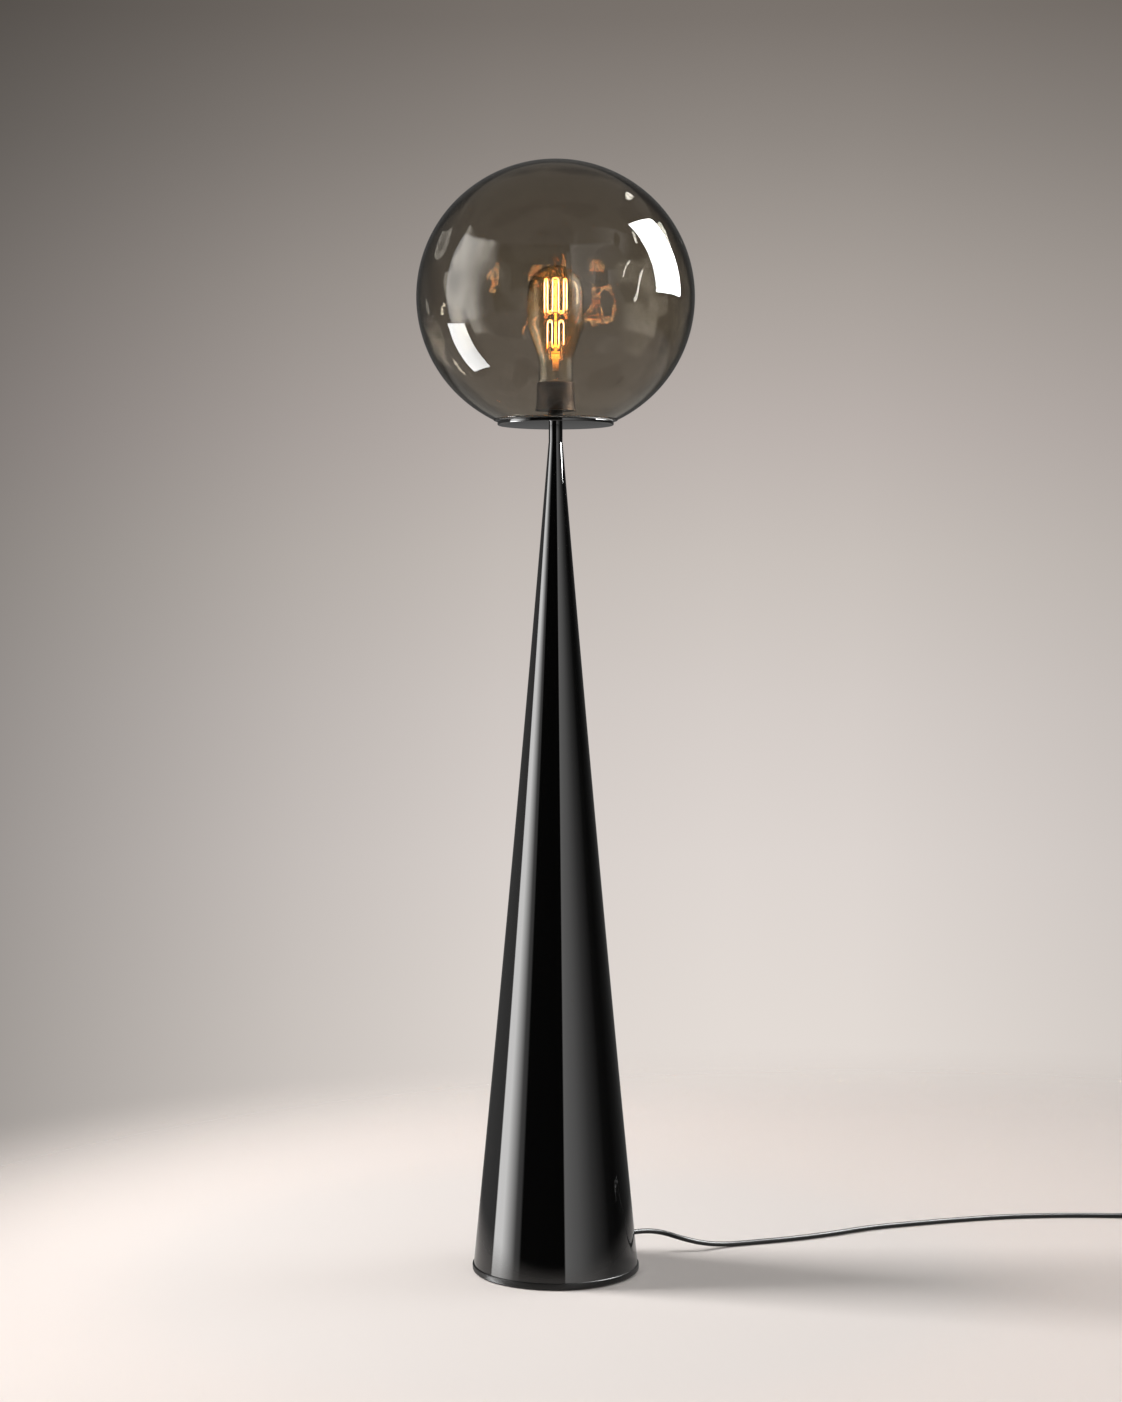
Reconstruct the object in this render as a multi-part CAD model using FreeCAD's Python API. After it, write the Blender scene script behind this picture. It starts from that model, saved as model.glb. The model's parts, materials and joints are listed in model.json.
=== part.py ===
"""A floor lamp: a smoked glass globe over a vintage bulb, on a tall flared cone.

Millimetres, +Z up. The origin is the centre of the foot, on the floor.
Every level is built up from the floor out of the sizes below, so each piece
sits on the one that carries it.
"""

import FreeCAD, Part
import math
import os

V = FreeCAD.Vector
UP = V(0, 0, 1)

# ---- driving sizes -----------------------------------------------------------

# foot
base_proud = 1.3                # of the base plate round the cone
base_thickness = 7.0
base_top_round = 0.9
base_bottom_round = 1.6
pad_inset = 6.6                 # from the base plate's edge
pad_thickness = 2.0
pad_stands_proud = 0.8          # how far the pad holds the base plate off the floor
pad_edge_round = 0.4
register_height = 4.0           # ring on the base plate that centres the cone

# cone
cone_height = 890.9             # from the base plate to the stem
cone_foot_diameter = 178.6
cone_tip_step = 0.2             # of the cone's tip round the stem
cone_bow = 1.75                 # how far the side bows in, half way up
cone_wall = 1.2
cone_bands = 8                  # spinning passes, each a straight taper

# counterweight and what holds it
weight_height = 55.0
weight_edge_round = 3.0
weight_cavity_diameter = 68.0
weight_web = 18.8               # thickness above the cavity, where the nut pulls
base_screw_count = 4
base_screw_diameter = 5.0
base_screw_head = 9.6
base_screw_length = 20.0

# tie tube, from the counterweight to the tip plug
tie_tube_diameter = 12.0
tie_tube_room = 1.5             # air round the lead in the tie tube
tie_nut_across_flats = 17.0
tie_nut_height = 6.0
tie_washer_diameter = 30.0
tie_washer_thickness = 2.0
tie_tube_end = 3.0              # thread left below the nut
tip_plug_length = 46.0
tip_plug_socket = 20.0          # how deep the tie tube screws in

# stem and plate
stem_diameter = 15.0
stem_length = 19.1
nipple_diameter = 10.0
nipple_room = 0.7               # air round the lead in the nipple
nipple_in_plug = 22.0
plate_diameter = 125.5
plate_thickness = 4.0
plate_edge_round = 1.0
locating_ring_height = 1.5
locating_ring_width = 3.0

# globe
globe_diameter = 300.0
globe_flattening = 3.5          # it is blown a little flatter than a sphere, top and bottom
globe_wall = 2.6
globe_overhang = 2.45           # of the ground rim's outside past the plate's edge
globe_rim_round = 1.0
seat_ring_thickness = 0.8

# lampholder
neck_foot_diameter = 20.0
neck_top_diameter = 14.9
neck_height = 11.7
neck_lip = 1.6
holder_height = 30.3
holder_foot_step = 1.4          # of the flared foot round the waist
holder_waist_step = 0.5         # of the waist round the mouth
holder_waist_height = 10.0
holder_wall = 1.2
holder_edge_round = 1.5
holder_flare_bend = 0.45        # share of the waist's height where the flare bends
holder_flare_left = 0.22        # share of the flare's step that is left there
holder_floor_recess = 0.8
holder_floor = 2.0
core_floor = 2.0
core_wall = 3.9
core_height = 20.0
shell_wall = 0.6
shell_lip_width = 1.0
shell_lip_height = 0.8          # rolled over the core's rim
contact_thickness = 0.5
contact_rise = 1.2
contact_width = 5.0
contact_foot_inset = 2.5        # from the well's wall to the leaf's foot
contact_bends = (-6.0, -2.0)    # along the leaf: where it leaves the core and levels out
contact_tip = 3.5
terminal_screw_shank = 2.2
terminal_screw_head = 3.3
terminal_screw_head_height = 1.4
terminal_screw_grip = 8.0
terminal_screw_sunk = 0.4
wire_grip = 1.2                 # how far the conductors reach into the core

# bulb
cap_diameter = 26.1
cap_wall = 0.45
cap_height = 16.3
cap_rim_step = 0.4              # of the cap's rolled rim
cap_turn_in = 1.6
cap_shoulder = 1.4              # slope at the cap's foot and rim
insulator_height = 3.5
insulator_step = 0.8
insulator_plug = 1.0            # how far it reaches into the cap
bulb_tip_diameter = 9.6
bulb_tip_height = 1.5
bulb_wall = 0.9
bulb_height = 128.2             # glass above the metal cap
bulb_widest = 61.0
bulb_neck_diameter = 36.6
bulb_stub = 8.0                 # glass inside the cap
bulb_neck_start = 6.0           # heights above the cap
bulb_taper_start = 27.5
bulb_belly_start = 62.6
bulb_taper_round = 9.0
bulb_belly_round = 16.0

# filaments and what carries them
filament_wire = 1.0
wire_sides = 6
upper_cage_radius = 12.3
upper_cage_strands = 12
upper_cage_bottom = 77.5        # above the metal cap
upper_cage_height = 35.5
lower_cage_radius = 9.4
lower_cage_strands = 8
lower_cage_bottom = 39.5
lower_cage_height = 29.0
glass_rod_diameter = 2.6
rod_end = 1.2                   # above the topmost hub
stem_foot_depth = 7.0           # the stem's flare starts this far down in the cap
stem_flare_height = 12.0
stem_flare_round = 8.0
stem_foot_diameter = 6.8
stem_neck_diameter = 6.4
stem_shoulder = 5.0             # from the press down to the rod's thickness
press_below_cage = 8.0
press_size = (9.0, 3.4, 8.0)    # the pinched glass round the lead wires
press_round = 1.2
hub_wall = 0.8
hub_height = 1.6
hub_above_cage = 1.2
spoke_wire = 0.5
spoke_root = 0.3                # how far a spoke is sunk in its hub

# cord
cord_diameter = 5.6
cord_sides = 8                  # flats round the cord where it lies free
cord_exit_azimuth = 36.0        # degrees from +X towards +Y
cord_exit_height = 24.0
boot_outside = 15.0             # length of the strain relief outside the cone
boot_root_diameter = 9.6
boot_tip_diameter = 7.6
boot_flange_diameter = 14.0
boot_flange_thickness = 3.0
boot_shoulder = 2.0             # straight part outside the skin
boot_shoulder_round = 3.0
lead_bend_radius = 20.0         # where the lead turns up into the tie tube
core_wire_diameter = 2.2        # one insulated conductor
clamp_width = 8.0
clamp_strap = 1.6
clamp_radius_out = 26.0         # how far from the middle the cord clamp stands
lead_slope_start = 22.0         # inside the cone's skin
lead_slope_end = 44.0           # where the lead has come down to the base plate
sheath_end = 1.0                # below the lampholder, where the sheath is stripped
clamp_margin = 1.0
clamp_screw_diameter = 3.0
clamp_screw_head = 5.7
clamp_screw_head_height = 2.0
clamp_screw_grip = 4.5
clamp_screw_spacing = 16.0

# cord on the floor: down from the strain relief, then along the floor to the switch
cord_exit_run = 16.0
cord_points = [
    (118.5, 77.5, 20.8),
    (142.0, 73.0, 14.2),
    (166.0, 80.0, 6.8),
    (192.0, 91.0, 2.8),
    (224.0, 101.5, 2.8),
    (265.0, 115.5, 2.8),
    (314.0, 138.0, 2.8),
    (364.0, 168.5, 2.8),
    (418.0, 187.5, 2.8),
    (474.0, 205.5, 2.8),
    (528.0, 219.5, 2.8),
    (582.0, 225.5, 2.8),
    (634.0, 226.0, 2.8),
    (676.0, 223.0, 2.8),
]

# in-line foot switch
switch_length = 76.0
switch_width = 36.0
switch_height = 20.0
switch_split = 7.5              # height of the joint line, on the cord's middle
switch_wall = 1.8
switch_round = 5.0
switch_foot_round = 1.0
switch_end_flat = 1.0
switch_boss_diameter = 6.8
switch_run = 14.0               # of cord, straight into the switch
switch_at = (719.0, 222.5)      # the face where the cord comes in, x and y
button_diameter = 24.0
button_rise = 3.0
button_drop = 0.8               # crown's fall to the button's edge
button_crown_width = 5.0
button_crown_round = 6.0
button_edge_round = 1.2
button_flange = 1.6
button_flange_thickness = 1.4
switch_screw_diameter = 3.0
switch_screw_head = 5.4
switch_screw_head_height = 1.6
switch_screw_length = 12.2
switch_screw_sunk = 0.8
switch_screw_inset = 9.0

# put-away coil
coil_loops_per_layer = 3        # whole loops in each layer
coil_outer_radius = 42.5        # to the cord's middle
coil_gap = 0.5                  # air between neighbouring turns
coil_climb_inset = 1.0          # the half turn that climbs is drawn in by this
coil_lead_in = 45.0             # from the switch to where the coil starts
coil_lead_out = 34.0            # from the coil to the plug
coil_drop = (12.0, 29.0)        # from the switch: where the cord leaves its level, and lies down
plug_rise = (10.0, 25.0)        # from the coil: where the cord leaves its level, and heads level in

# two-pin plug
plug_body_length = 36.0
plug_front_width = 35.0
plug_back_width = 14.0
plug_thickness = 13.7
plug_round = 2.5
plug_waist_share = 0.55         # of the body's length, where it starts to widen
plug_shoulder_step = 3.5
plug_front_land = 6.0
plug_tail_length = 18.0
plug_tail_root = 10.5
plug_tail_tip = 8.0
plug_overlap = 2.0              # of tail and sleeves with the body they are moulded with
pin_diameter = 4.0
pin_length = 19.0
pin_spacing = 18.6
pin_sleeve_diameter = 3.5
pin_sleeve_length = 10.0
pin_core_diameter = 2.8
pin_root = 12.0                 # how deep a pin is moulded in
pin_tip_round = 1.6

edge_break = 0.6                # small rounds of turned and moulded pieces

# ---- clearances --------------------------------------------------------------

fit = 0.15                      # pieces clamped on one another
thread_fit = 0.05               # screwed together
running = 0.3                   # pieces that slide or turn past one another
seat_gap = 0.1                  # flat faces that come apart
mouth_gap = 0.6                 # between the globe's mouth and the ring inside it
weight_gap = 1.0                # between the counterweight and the cone's wall
socket_gap = 0.5                # between the bulb's cap and the screw shell
conductor_gap = 0.3             # between the two conductors

# ---- levels, from the floor up -----------------------------------------------

base_bottom = pad_stands_proud
base_top = base_bottom + base_thickness
weight_top = base_top + weight_height
web_bottom = weight_top - weight_web
cone_tip = base_top + cone_height
plug_bottom = cone_tip - tip_plug_length
plate_bottom = cone_tip + stem_length
plate_top = plate_bottom + plate_thickness
nipple_bottom = cone_tip - nipple_in_plug
holder_bottom = plate_top + neck_height
holder_top = holder_bottom + holder_height
floor_bottom = holder_bottom + holder_floor_recess
core_bottom = floor_bottom + holder_floor
core_top = core_bottom + core_height
core_seat = core_bottom + core_floor
contact_top = core_seat + contact_rise
tip_bottom = contact_top + running
insulator_bottom = tip_bottom + bulb_tip_height + running
cap_bottom = insulator_bottom + insulator_height
cap_top = cap_bottom + cap_height
seat_bottom = plate_top
globe_bottom = seat_bottom + seat_ring_thickness + seat_gap
upper_bottom = cap_top + upper_cage_bottom
lower_bottom = cap_top + lower_cage_bottom
floor_level = cord_diameter / 2
lead_level = base_top + cord_diameter / 2 + running
button_flange_top = switch_height - switch_wall - seat_gap

# ---- radii that follow from one another --------------------------------------

cone_tip_radius = stem_diameter / 2 + cone_tip_step
base_radius = cone_foot_diameter / 2 + base_proud
pad_radius = base_radius - pad_inset
mouth_radius = plate_diameter / 2 + globe_overhang
globe_height_radius = globe_diameter / 2 - globe_flattening
tie_tube_bore = cord_diameter + 2 * tie_tube_room
nipple_bore = cord_diameter + 2 * nipple_room
cap_rim_radius = cap_diameter / 2 + cap_rim_step
screw_shell_inner = cap_rim_radius + socket_gap
screw_shell_outer = screw_shell_inner + shell_wall
core_inner = screw_shell_outer + fit
core_outer = core_inner + core_wall
holder_mouth_radius = core_outer + running + holder_wall
holder_waist_radius = holder_mouth_radius + holder_waist_step
holder_foot_radius = holder_waist_radius + holder_foot_step
wire_offset = (core_wire_diameter + conductor_gap) / 2


# ---- helpers -----------------------------------------------------------------

def turned(points, rounds=None):
    """A solid of revolution about Z from (radius, height) points.

    rounds gives the corner radius of the points that have one.
    """
    rounds = rounds or {}
    corners = [V(r, 0, z) for r, z in points]
    edges = []
    starts, ends = [], []
    for i, corner in enumerate(corners):
        before, after = corners[i - 1], corners[(i + 1) % len(corners)]
        radius = rounds.get(i, 0)
        if not radius:
            starts.append(corner)
            ends.append(corner)
            continue
        a = (before - corner).normalize()
        b = (after - corner).normalize()
        half = a.getAngle(b) / 2
        back = radius / math.tan(half)
        middle = corner + (a + b).normalize() * (radius / math.sin(half) - radius)
        starts.append(corner + a * back)
        ends.append(corner + b * back)
        edges.append(Part.Arc(starts[i], middle, ends[i]).toShape())
    for i in range(len(corners)):
        a, b = ends[i], starts[(i + 1) % len(corners)]
        if (b - a).Length > 1e-6:
            edges.append(Part.LineSegment(a, b).toShape())
    return spun(edges)


def spun(edges):
    """The solid that a closed outline in the XZ plane sweeps about Z."""
    wire = Part.Wire(Part.__sortEdges__(edges))
    return Part.Face(wire).revolve(V(), UP, 360)


def ring(outer, inner, bottom, top):
    """A plain tube about Z, by radii."""
    body = Part.makeCylinder(outer, top - bottom, V(0, 0, bottom))
    if inner:
        body = body.cut(Part.makeCylinder(inner, top - bottom, V(0, 0, bottom)))
    return body


def hex_nut(across_flats, bore_radius, bottom, top):
    """A hexagon nut about Z with its corners turned back."""
    corner = across_flats / math.sqrt(3)
    points = [V(corner * math.cos(math.radians(60 * i)),
                corner * math.sin(math.radians(60 * i)), bottom) for i in range(7)]
    blank = Part.Face(Part.makePolygon(points)).extrude(V(0, 0, top - bottom))
    drop = (corner - across_flats / 2) * math.tan(math.radians(30))
    turned_back = turned([(0, bottom), (across_flats / 2, bottom), (corner, bottom + drop),
                          (corner, top - drop), (across_flats / 2, top), (0, top)])
    return blank.common(turned_back).cut(ring(bore_radius, 0, bottom, top))


def on_circle(shape, count, first=0.0):
    """Copies of a shape about Z."""
    return [shape.copy().rotate(V(), UP, first + 360.0 * i / count) for i in range(count)]


def rounded_block(x0, x1, width, z0, z1, corner):
    """A bar along X with upright corners of one radius, centred on Y = 0."""
    y = width / 2
    block = Part.makeBox(x1 - x0, width, z1 - z0, V(x0, -y, z0))
    upright = [e for e in block.Edges if abs(e.tangentAt(e.FirstParameter).z) > 0.9]
    return block.makeFillet(corner, upright)


def route_edges(points, radii=None):
    """Straight runs joined by tangent arcs, each as large as its two runs allow.

    radii sets the radius at the corners that a part of the lamp decides.
    """
    radii = radii or {}
    edges, used = [], []
    at = points[0]
    for i in range(1, len(points) - 1):
        corner = points[i]
        back, on = points[i - 1] - corner, points[i + 1] - corner
        half_turn = (math.pi - back.getAngle(on)) / 2
        radius = radii.get(i, 0.45 * min(back.Length, on.Length) / math.tan(half_turn))
        reach = radius * math.tan(half_turn)
        a = V(back).normalize()
        b = V(on).normalize()
        first, last = corner + a * reach, corner + b * reach
        sagitta = radius / math.cos(half_turn) - radius
        middle = corner + (a + b).normalize() * sagitta
        edges.append(Part.LineSegment(at, first).toShape())
        edges.append(Part.Arc(first, middle, last).toShape())
        used.append(radius)
        at = last
    edges.append(Part.LineSegment(at, points[-1]).toShape())
    return edges, used


def swept(edges, diameter, name, sides=0):
    """A tube along edges that follow one another smoothly: round, or with flat sides."""
    path = Part.Wire(edges)
    start = edges[0].firstVertex().Point
    heading = edges[0].tangentAt(edges[0].FirstParameter)
    radius = diameter / 2
    if sides:
        aside = UP if abs(heading.z) < 0.5 else V(1, 0, 0)
        level = aside.cross(heading).normalize()
        turns = [2 * math.pi * (i + 0.5) / sides for i in range(sides + 1)]
        section = Part.makePolygon([
            start + (level * math.cos(a) + heading.cross(level) * math.sin(a)) * radius
            for a in turns])
        area = sides / 2 * radius ** 2 * math.sin(2 * math.pi / sides)
    else:
        section = Part.Wire(Part.makeCircle(radius, start, heading))
        area = math.pi * radius ** 2
    tube = path.makePipeShell([section], True, False)
    share = tube.Volume / (area * path.Length)
    print(f"{name}: length {path.Length:.1f}, volume against section x length {share:.4f}")
    return tube


def half_turn(start, heading, end, leaving):
    """Two arcs that take a path round from one point and heading to another."""
    reach = (end - start).Length / 2
    first_pull = start + heading * reach
    last_pull = end - leaving * reach
    joint = (first_pull + last_pull) * 0.5
    edges = []
    for a, pull, b in ((start, first_pull, joint), (joint, last_pull, end)):
        u, w = a - pull, b - pull
        half = u.getAngle(w) / 2
        radius = u.Length * math.tan(half)
        toward = (V(u).normalize() + V(w).normalize()).normalize()
        middle = pull + toward * (radius / math.sin(half) - radius)
        edges.append(Part.Arc(a, middle, b).toShape())
    return edges


def along(azimuth, distance, height):
    """A point at a distance from the lamp's axis, in the direction of azimuth."""
    a = math.radians(azimuth)
    return V(distance * math.cos(a), distance * math.sin(a), height)


# ---- the cone's side, one gentle curve ---------------------------------------

def cone_radius(height, depth=0.0):
    """The cone's radius at a height, a depth inside its skin."""
    foot, tip = cone_foot_diameter / 2, cone_tip_radius
    t = (height - base_top) / cone_height
    return foot + (tip - foot) * t - 4 * cone_bow * t * (1 - t) - depth


def cone_side(depth=0.0):
    """(radius, height) up the cone's side: bands too short to tell from the curve."""
    levels = [base_top + cone_height * i / cone_bands for i in range(cone_bands + 1)]
    return [(cone_radius(z, depth), z) for z in levels]


weight_radius = cone_radius(weight_top, cone_wall) - weight_gap
base_screw_radius = (weight_cavity_diameter / 2 + weight_radius) / 2
skin_at_exit = cone_radius(cord_exit_height)
wall_inside_at = skin_at_exit - 2 * cone_wall
boot_tip_at = skin_at_exit + boot_outside


# ---- foot --------------------------------------------------------------------

def base_screw_positions():
    step = 360.0 / base_screw_count
    return [along(cord_exit_azimuth + step * (i + 0.5), base_screw_radius, 0)
            for i in range(base_screw_count)]


def base_screw_hole(at, gap):
    """A countersunk screw, or with a gap the hole for it, from below."""
    r, head = base_screw_diameter / 2 + gap, base_screw_head / 2 + gap
    z = base_bottom + pad_thickness - pad_stands_proud
    blank = turned([(0, z), (head, z), (r, z + head - r), (r, z + base_screw_length + gap),
                    (0, z + base_screw_length + gap)])
    return blank.translate(at)


def floor_pad():
    return turned([(0, 0), (pad_radius, 0), (pad_radius, pad_thickness), (0, pad_thickness)],
                  {1: pad_edge_round})


def base_plate():
    r = base_radius
    recess, recess_top = pad_radius + fit, pad_thickness
    ring_out = cone_radius(base_top + register_height, cone_wall) - running
    ring_in = weight_radius + running
    plate = turned([(0, recess_top), (recess, recess_top), (recess, base_bottom), (r, base_bottom),
                    (r, base_top), (ring_out, base_top), (ring_out, base_top + register_height),
                    (ring_in, base_top + register_height), (ring_in, base_top), (0, base_top)],
                   {3: base_bottom_round, 4: base_top_round})
    for at in base_screw_positions():
        plate = plate.cut(base_screw_hole(at, thread_fit))
    for at in clamp_screw_positions():
        hole = Part.makeCylinder(clamp_screw_diameter / 2 + thread_fit, clamp_screw_grip,
                                 at + V(0, 0, base_top - clamp_screw_grip))
        plate = plate.cut(hole)
    boot_notch = Part.makeBox(2 * boot_flange_diameter, boot_flange_diameter + 2 * running,
                              register_height, V(-boot_flange_diameter,
                                                 -boot_flange_diameter / 2 - running, base_top))
    boot_notch.rotate(V(), UP, cord_exit_azimuth)
    boot_notch.translate(along(cord_exit_azimuth, ring_out, 0))
    return plate.cut(boot_notch)


def base_screws():
    return [base_screw_hole(at, 0) for at in base_screw_positions()]


def counterweight():
    r = weight_radius
    cavity = weight_cavity_diameter / 2
    bore = tie_tube_diameter / 2 + fit
    body = turned([(cavity, base_top), (r, base_top), (r, weight_top), (bore, weight_top),
                   (bore, web_bottom), (cavity, web_bottom)], {2: weight_edge_round})
    slot_width = boot_flange_diameter + 2 * running
    slot_top = cord_exit_height + slot_width / 2
    slot = Part.makeBox(r - cavity / 2 + slot_width, slot_width, slot_top - base_top,
                        V(cavity / 2, -slot_width / 2, base_top))
    slot.rotate(V(), UP, cord_exit_azimuth)
    body = body.cut(slot)
    for at in base_screw_positions():
        body = body.cut(base_screw_hole(at, thread_fit))
    return body


# ---- cone, tie tube and stem -------------------------------------------------

def cone_shell():
    shell = turned(cone_side() + cone_side(cone_wall)[::-1])
    hole = Part.makeCylinder(boot_root_diameter / 2 + fit, 4 * boot_flange_diameter,
                             along(cord_exit_azimuth, weight_radius - boot_flange_diameter,
                                   cord_exit_height), along(cord_exit_azimuth, 1, 0))
    return shell.cut(hole)


def tip_plug():
    """The turned plug that fills the cone's tip and joins tie tube and nipple."""
    skin = cone_wall + fit
    tube_r = tie_tube_diameter / 2 + thread_fit
    nipple_r = nipple_diameter / 2 + thread_fit
    step = plug_bottom + tip_plug_socket
    return turned([(tube_r, plug_bottom), (cone_radius(plug_bottom, skin), plug_bottom),
                   (cone_radius(cone_tip, skin), cone_tip), (nipple_r, cone_tip),
                   (nipple_r, step), (tube_r, step)])


def tie_tube():
    return ring(tie_tube_diameter / 2, tie_tube_bore / 2,
                web_bottom - tie_washer_thickness - tie_nut_height - tie_tube_end,
                plug_bottom + tip_plug_socket - fit)


def tie_washer():
    return ring(tie_washer_diameter / 2, tie_tube_diameter / 2 + fit,
                web_bottom - tie_washer_thickness, web_bottom)


def tie_nut():
    top = web_bottom - tie_washer_thickness
    return hex_nut(tie_nut_across_flats, tie_tube_diameter / 2 + thread_fit,
                   top - tie_nut_height, top)


def stem_tube():
    return ring(stem_diameter / 2, nipple_diameter / 2 + fit, cone_tip, plate_bottom)


def threaded_nipple():
    return ring(nipple_diameter / 2, nipple_bore / 2, nipple_bottom, holder_bottom - fit)


# ---- plate and globe ---------------------------------------------------------

def globe_arcs(depth=0.0):
    """The globe's side as two arcs that join smoothly, a depth inside its skin.

    The crown's arc has its centre on the axis and the belly's lies level with
    the globe's middle. Returns the crown's centre height and radius, the
    belly's centre radius and radius, and the height of their joint above the middle.
    """
    a, b = globe_diameter / 2 - depth, globe_height_radius - depth
    reach = (math.sqrt((a + b) ** 2 + 2 * (a * a + b * b)) - a - b) / 2
    joint = V((a + reach) / 2, 0, (b + reach) / 2)
    crown = (joint.x ** 2 + joint.z ** 2 - b * b) / (2 * (joint.z - b))
    belly = (joint.x ** 2 + joint.z ** 2 - a * a) / (2 * (joint.x - a))
    return crown, b - crown, belly, a - belly, joint.z


def mouth_depth():
    """How far below the globe's middle its mouth is as wide as it is ground."""
    crown, crown_r, _, _, _ = globe_arcs()
    return crown + math.sqrt(crown_r ** 2 - mouth_radius ** 2)


globe_centre = globe_bottom + mouth_depth()


def globe_radius(height, depth=0.0):
    """The globe's radius at a height, a depth inside its skin."""
    crown, crown_r, belly, belly_r, joint = globe_arcs(depth)
    z = abs(height - globe_centre)
    if z > joint:
        return math.sqrt(crown_r ** 2 - (z - crown) ** 2)
    return belly + math.sqrt(belly_r ** 2 - z ** 2)


def globe_side(height, depth=0.0):
    """The globe's side from a height near the mouth up to its top."""
    _, _, _, _, joint = globe_arcs(depth)
    top = globe_centre + globe_height_radius - depth
    ends = [height, globe_centre - joint, globe_centre + joint, top]
    edges = []
    for low, high in zip(ends, ends[1:]):
        levels = (low, (low + high) / 2, high)
        points = [V(globe_radius(z, depth), 0, z) for z in levels[:2]]
        last = 0 if high == top else globe_radius(high, depth)
        edges.append(Part.Arc(*points, V(last, 0, high)).toShape())
    return edges


def glass_globe():
    lip = globe_bottom + globe_rim_round
    outer = globe_side(lip)
    inner = globe_side(lip, globe_wall)
    out_r = globe_radius(lip)
    in_r = globe_radius(lip, globe_wall)
    corners = [(in_r, lip), (in_r + globe_rim_round, globe_bottom),
               (out_r - 2 * globe_rim_round, globe_bottom)]
    edges = outer + inner
    for (r0, z0), (r1, z1) in zip(corners, corners[1:]):
        edges.append(Part.LineSegment(V(r0, 0, z0), V(r1, 0, z1)).toShape())
    rim_end = V(corners[-1][0], 0, corners[-1][1])
    bulge = V(out_r - 0.55 * globe_rim_round, 0, globe_bottom + 0.35 * globe_rim_round)
    edges.append(Part.Arc(rim_end, bulge, V(out_r, 0, lip)).toShape())
    top = globe_centre + globe_height_radius
    edges.append(Part.LineSegment(V(0, 0, top - globe_wall), V(0, 0, top)).toShape())
    return spun(edges)


mouth_inner_radius = globe_radius(globe_bottom + globe_rim_round, globe_wall)
locating_radius = mouth_inner_radius - mouth_gap


def gallery_plate():
    """The disc that carries the globe, with a low ring inside the glass's mouth."""
    r = plate_diameter / 2
    bore = nipple_diameter / 2 + fit
    ring_in = locating_radius - locating_ring_width
    top = plate_top + locating_ring_height
    return turned([(bore, plate_bottom), (r, plate_bottom), (r, plate_top),
                   (locating_radius, plate_top), (locating_radius, top), (ring_in, top),
                   (ring_in, plate_top), (bore, plate_top)],
                  {1: plate_edge_round, 2: plate_edge_round})


def globe_seat_ring():
    inner = locating_radius + fit
    outer = plate_diameter / 2 - plate_edge_round
    return ring(outer, inner, seat_bottom, seat_bottom + seat_ring_thickness)


# ---- lampholder --------------------------------------------------------------

def skirt_outline(wall):
    """The skirt's outside, or with a wall its inside, as edges from the foot to the mouth."""
    foot, waist = holder_foot_radius - wall, holder_waist_radius - wall
    mouth = holder_mouth_radius - wall
    waist_z = holder_bottom + holder_waist_height
    slope = (waist - mouth) / (holder_height - holder_waist_height)
    bend_z = holder_bottom + holder_flare_bend * holder_waist_height
    bend = waist + holder_flare_left * (foot - waist) + slope * (waist_z - bend_z)
    top = holder_top - holder_edge_round
    flare = Part.Arc(V(foot, 0, holder_bottom), V(bend, 0, bend_z), V(waist, 0, waist_z)).toShape()
    side = Part.LineSegment(V(waist, 0, waist_z), V(mouth, 0, top)).toShape()
    return [flare, side], foot, mouth, top


def holder_skirt():
    outer, foot_out, mouth_out, top = skirt_outline(0)
    inner, foot_in, mouth_in, top_in = skirt_outline(holder_wall)
    reach = holder_edge_round * (1 - math.sqrt(0.5))
    lip = [Part.Arc(V(mouth_out, 0, top), V(mouth_out - reach, 0, holder_top - reach),
                    V(mouth_out - holder_edge_round, 0, holder_top)).toShape(),
           Part.LineSegment(V(mouth_out - holder_edge_round, 0, holder_top),
                            V(mouth_in, 0, top_in)).toShape(),
           Part.LineSegment(V(foot_out, 0, holder_bottom), V(foot_in, 0, holder_bottom)).toShape()]
    return spun(outer + inner + lip)


def holder_dome():
    """The neck that screws on the nipple, and the floor of the lampholder."""
    bore = nipple_diameter / 2 + thread_fit
    foot, top = neck_foot_diameter / 2, neck_top_diameter / 2
    floor_r = core_outer + running / 2
    return turned([(bore, plate_top), (foot, plate_top), (foot, plate_top + neck_lip),
                   (top, holder_bottom), (top, floor_bottom), (floor_r, floor_bottom),
                   (floor_r, core_bottom), (bore, core_bottom)],
                  {2: edge_break, 5: edge_break})


def terminal_screw(gap):
    """One terminal screw in the rim of the core, or with a gap its hole."""
    r, head = terminal_screw_shank / 2 + gap, terminal_screw_head / 2 + gap
    top = core_top if gap else core_top - terminal_screw_sunk
    seat = core_top - terminal_screw_sunk - terminal_screw_head_height
    foot = seat - terminal_screw_grip
    return turned([(0, foot), (r, foot), (r, seat), (head, seat), (head, top), (0, top)]
                  ).translate(V((core_inner + core_outer) / 2, 0, 0))


def holder_core():
    """The porcelain insert, with a well for the screw shell and two terminals."""
    body = turned([(0, core_bottom), (core_outer, core_bottom), (core_outer, core_top),
                   (core_inner, core_top), (core_inner, core_seat), (0, core_seat)],
                  {2: edge_break})
    for hole in on_circle(terminal_screw(thread_fit), 2):
        body = body.cut(hole)
    for side in (-1, 1):
        wire_hole = Part.makeCylinder(core_wire_diameter / 2 + thread_fit, wire_grip,
                                      V(side * wire_offset, 0, core_bottom))
        body = body.cut(wire_hole)
    return body


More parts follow.
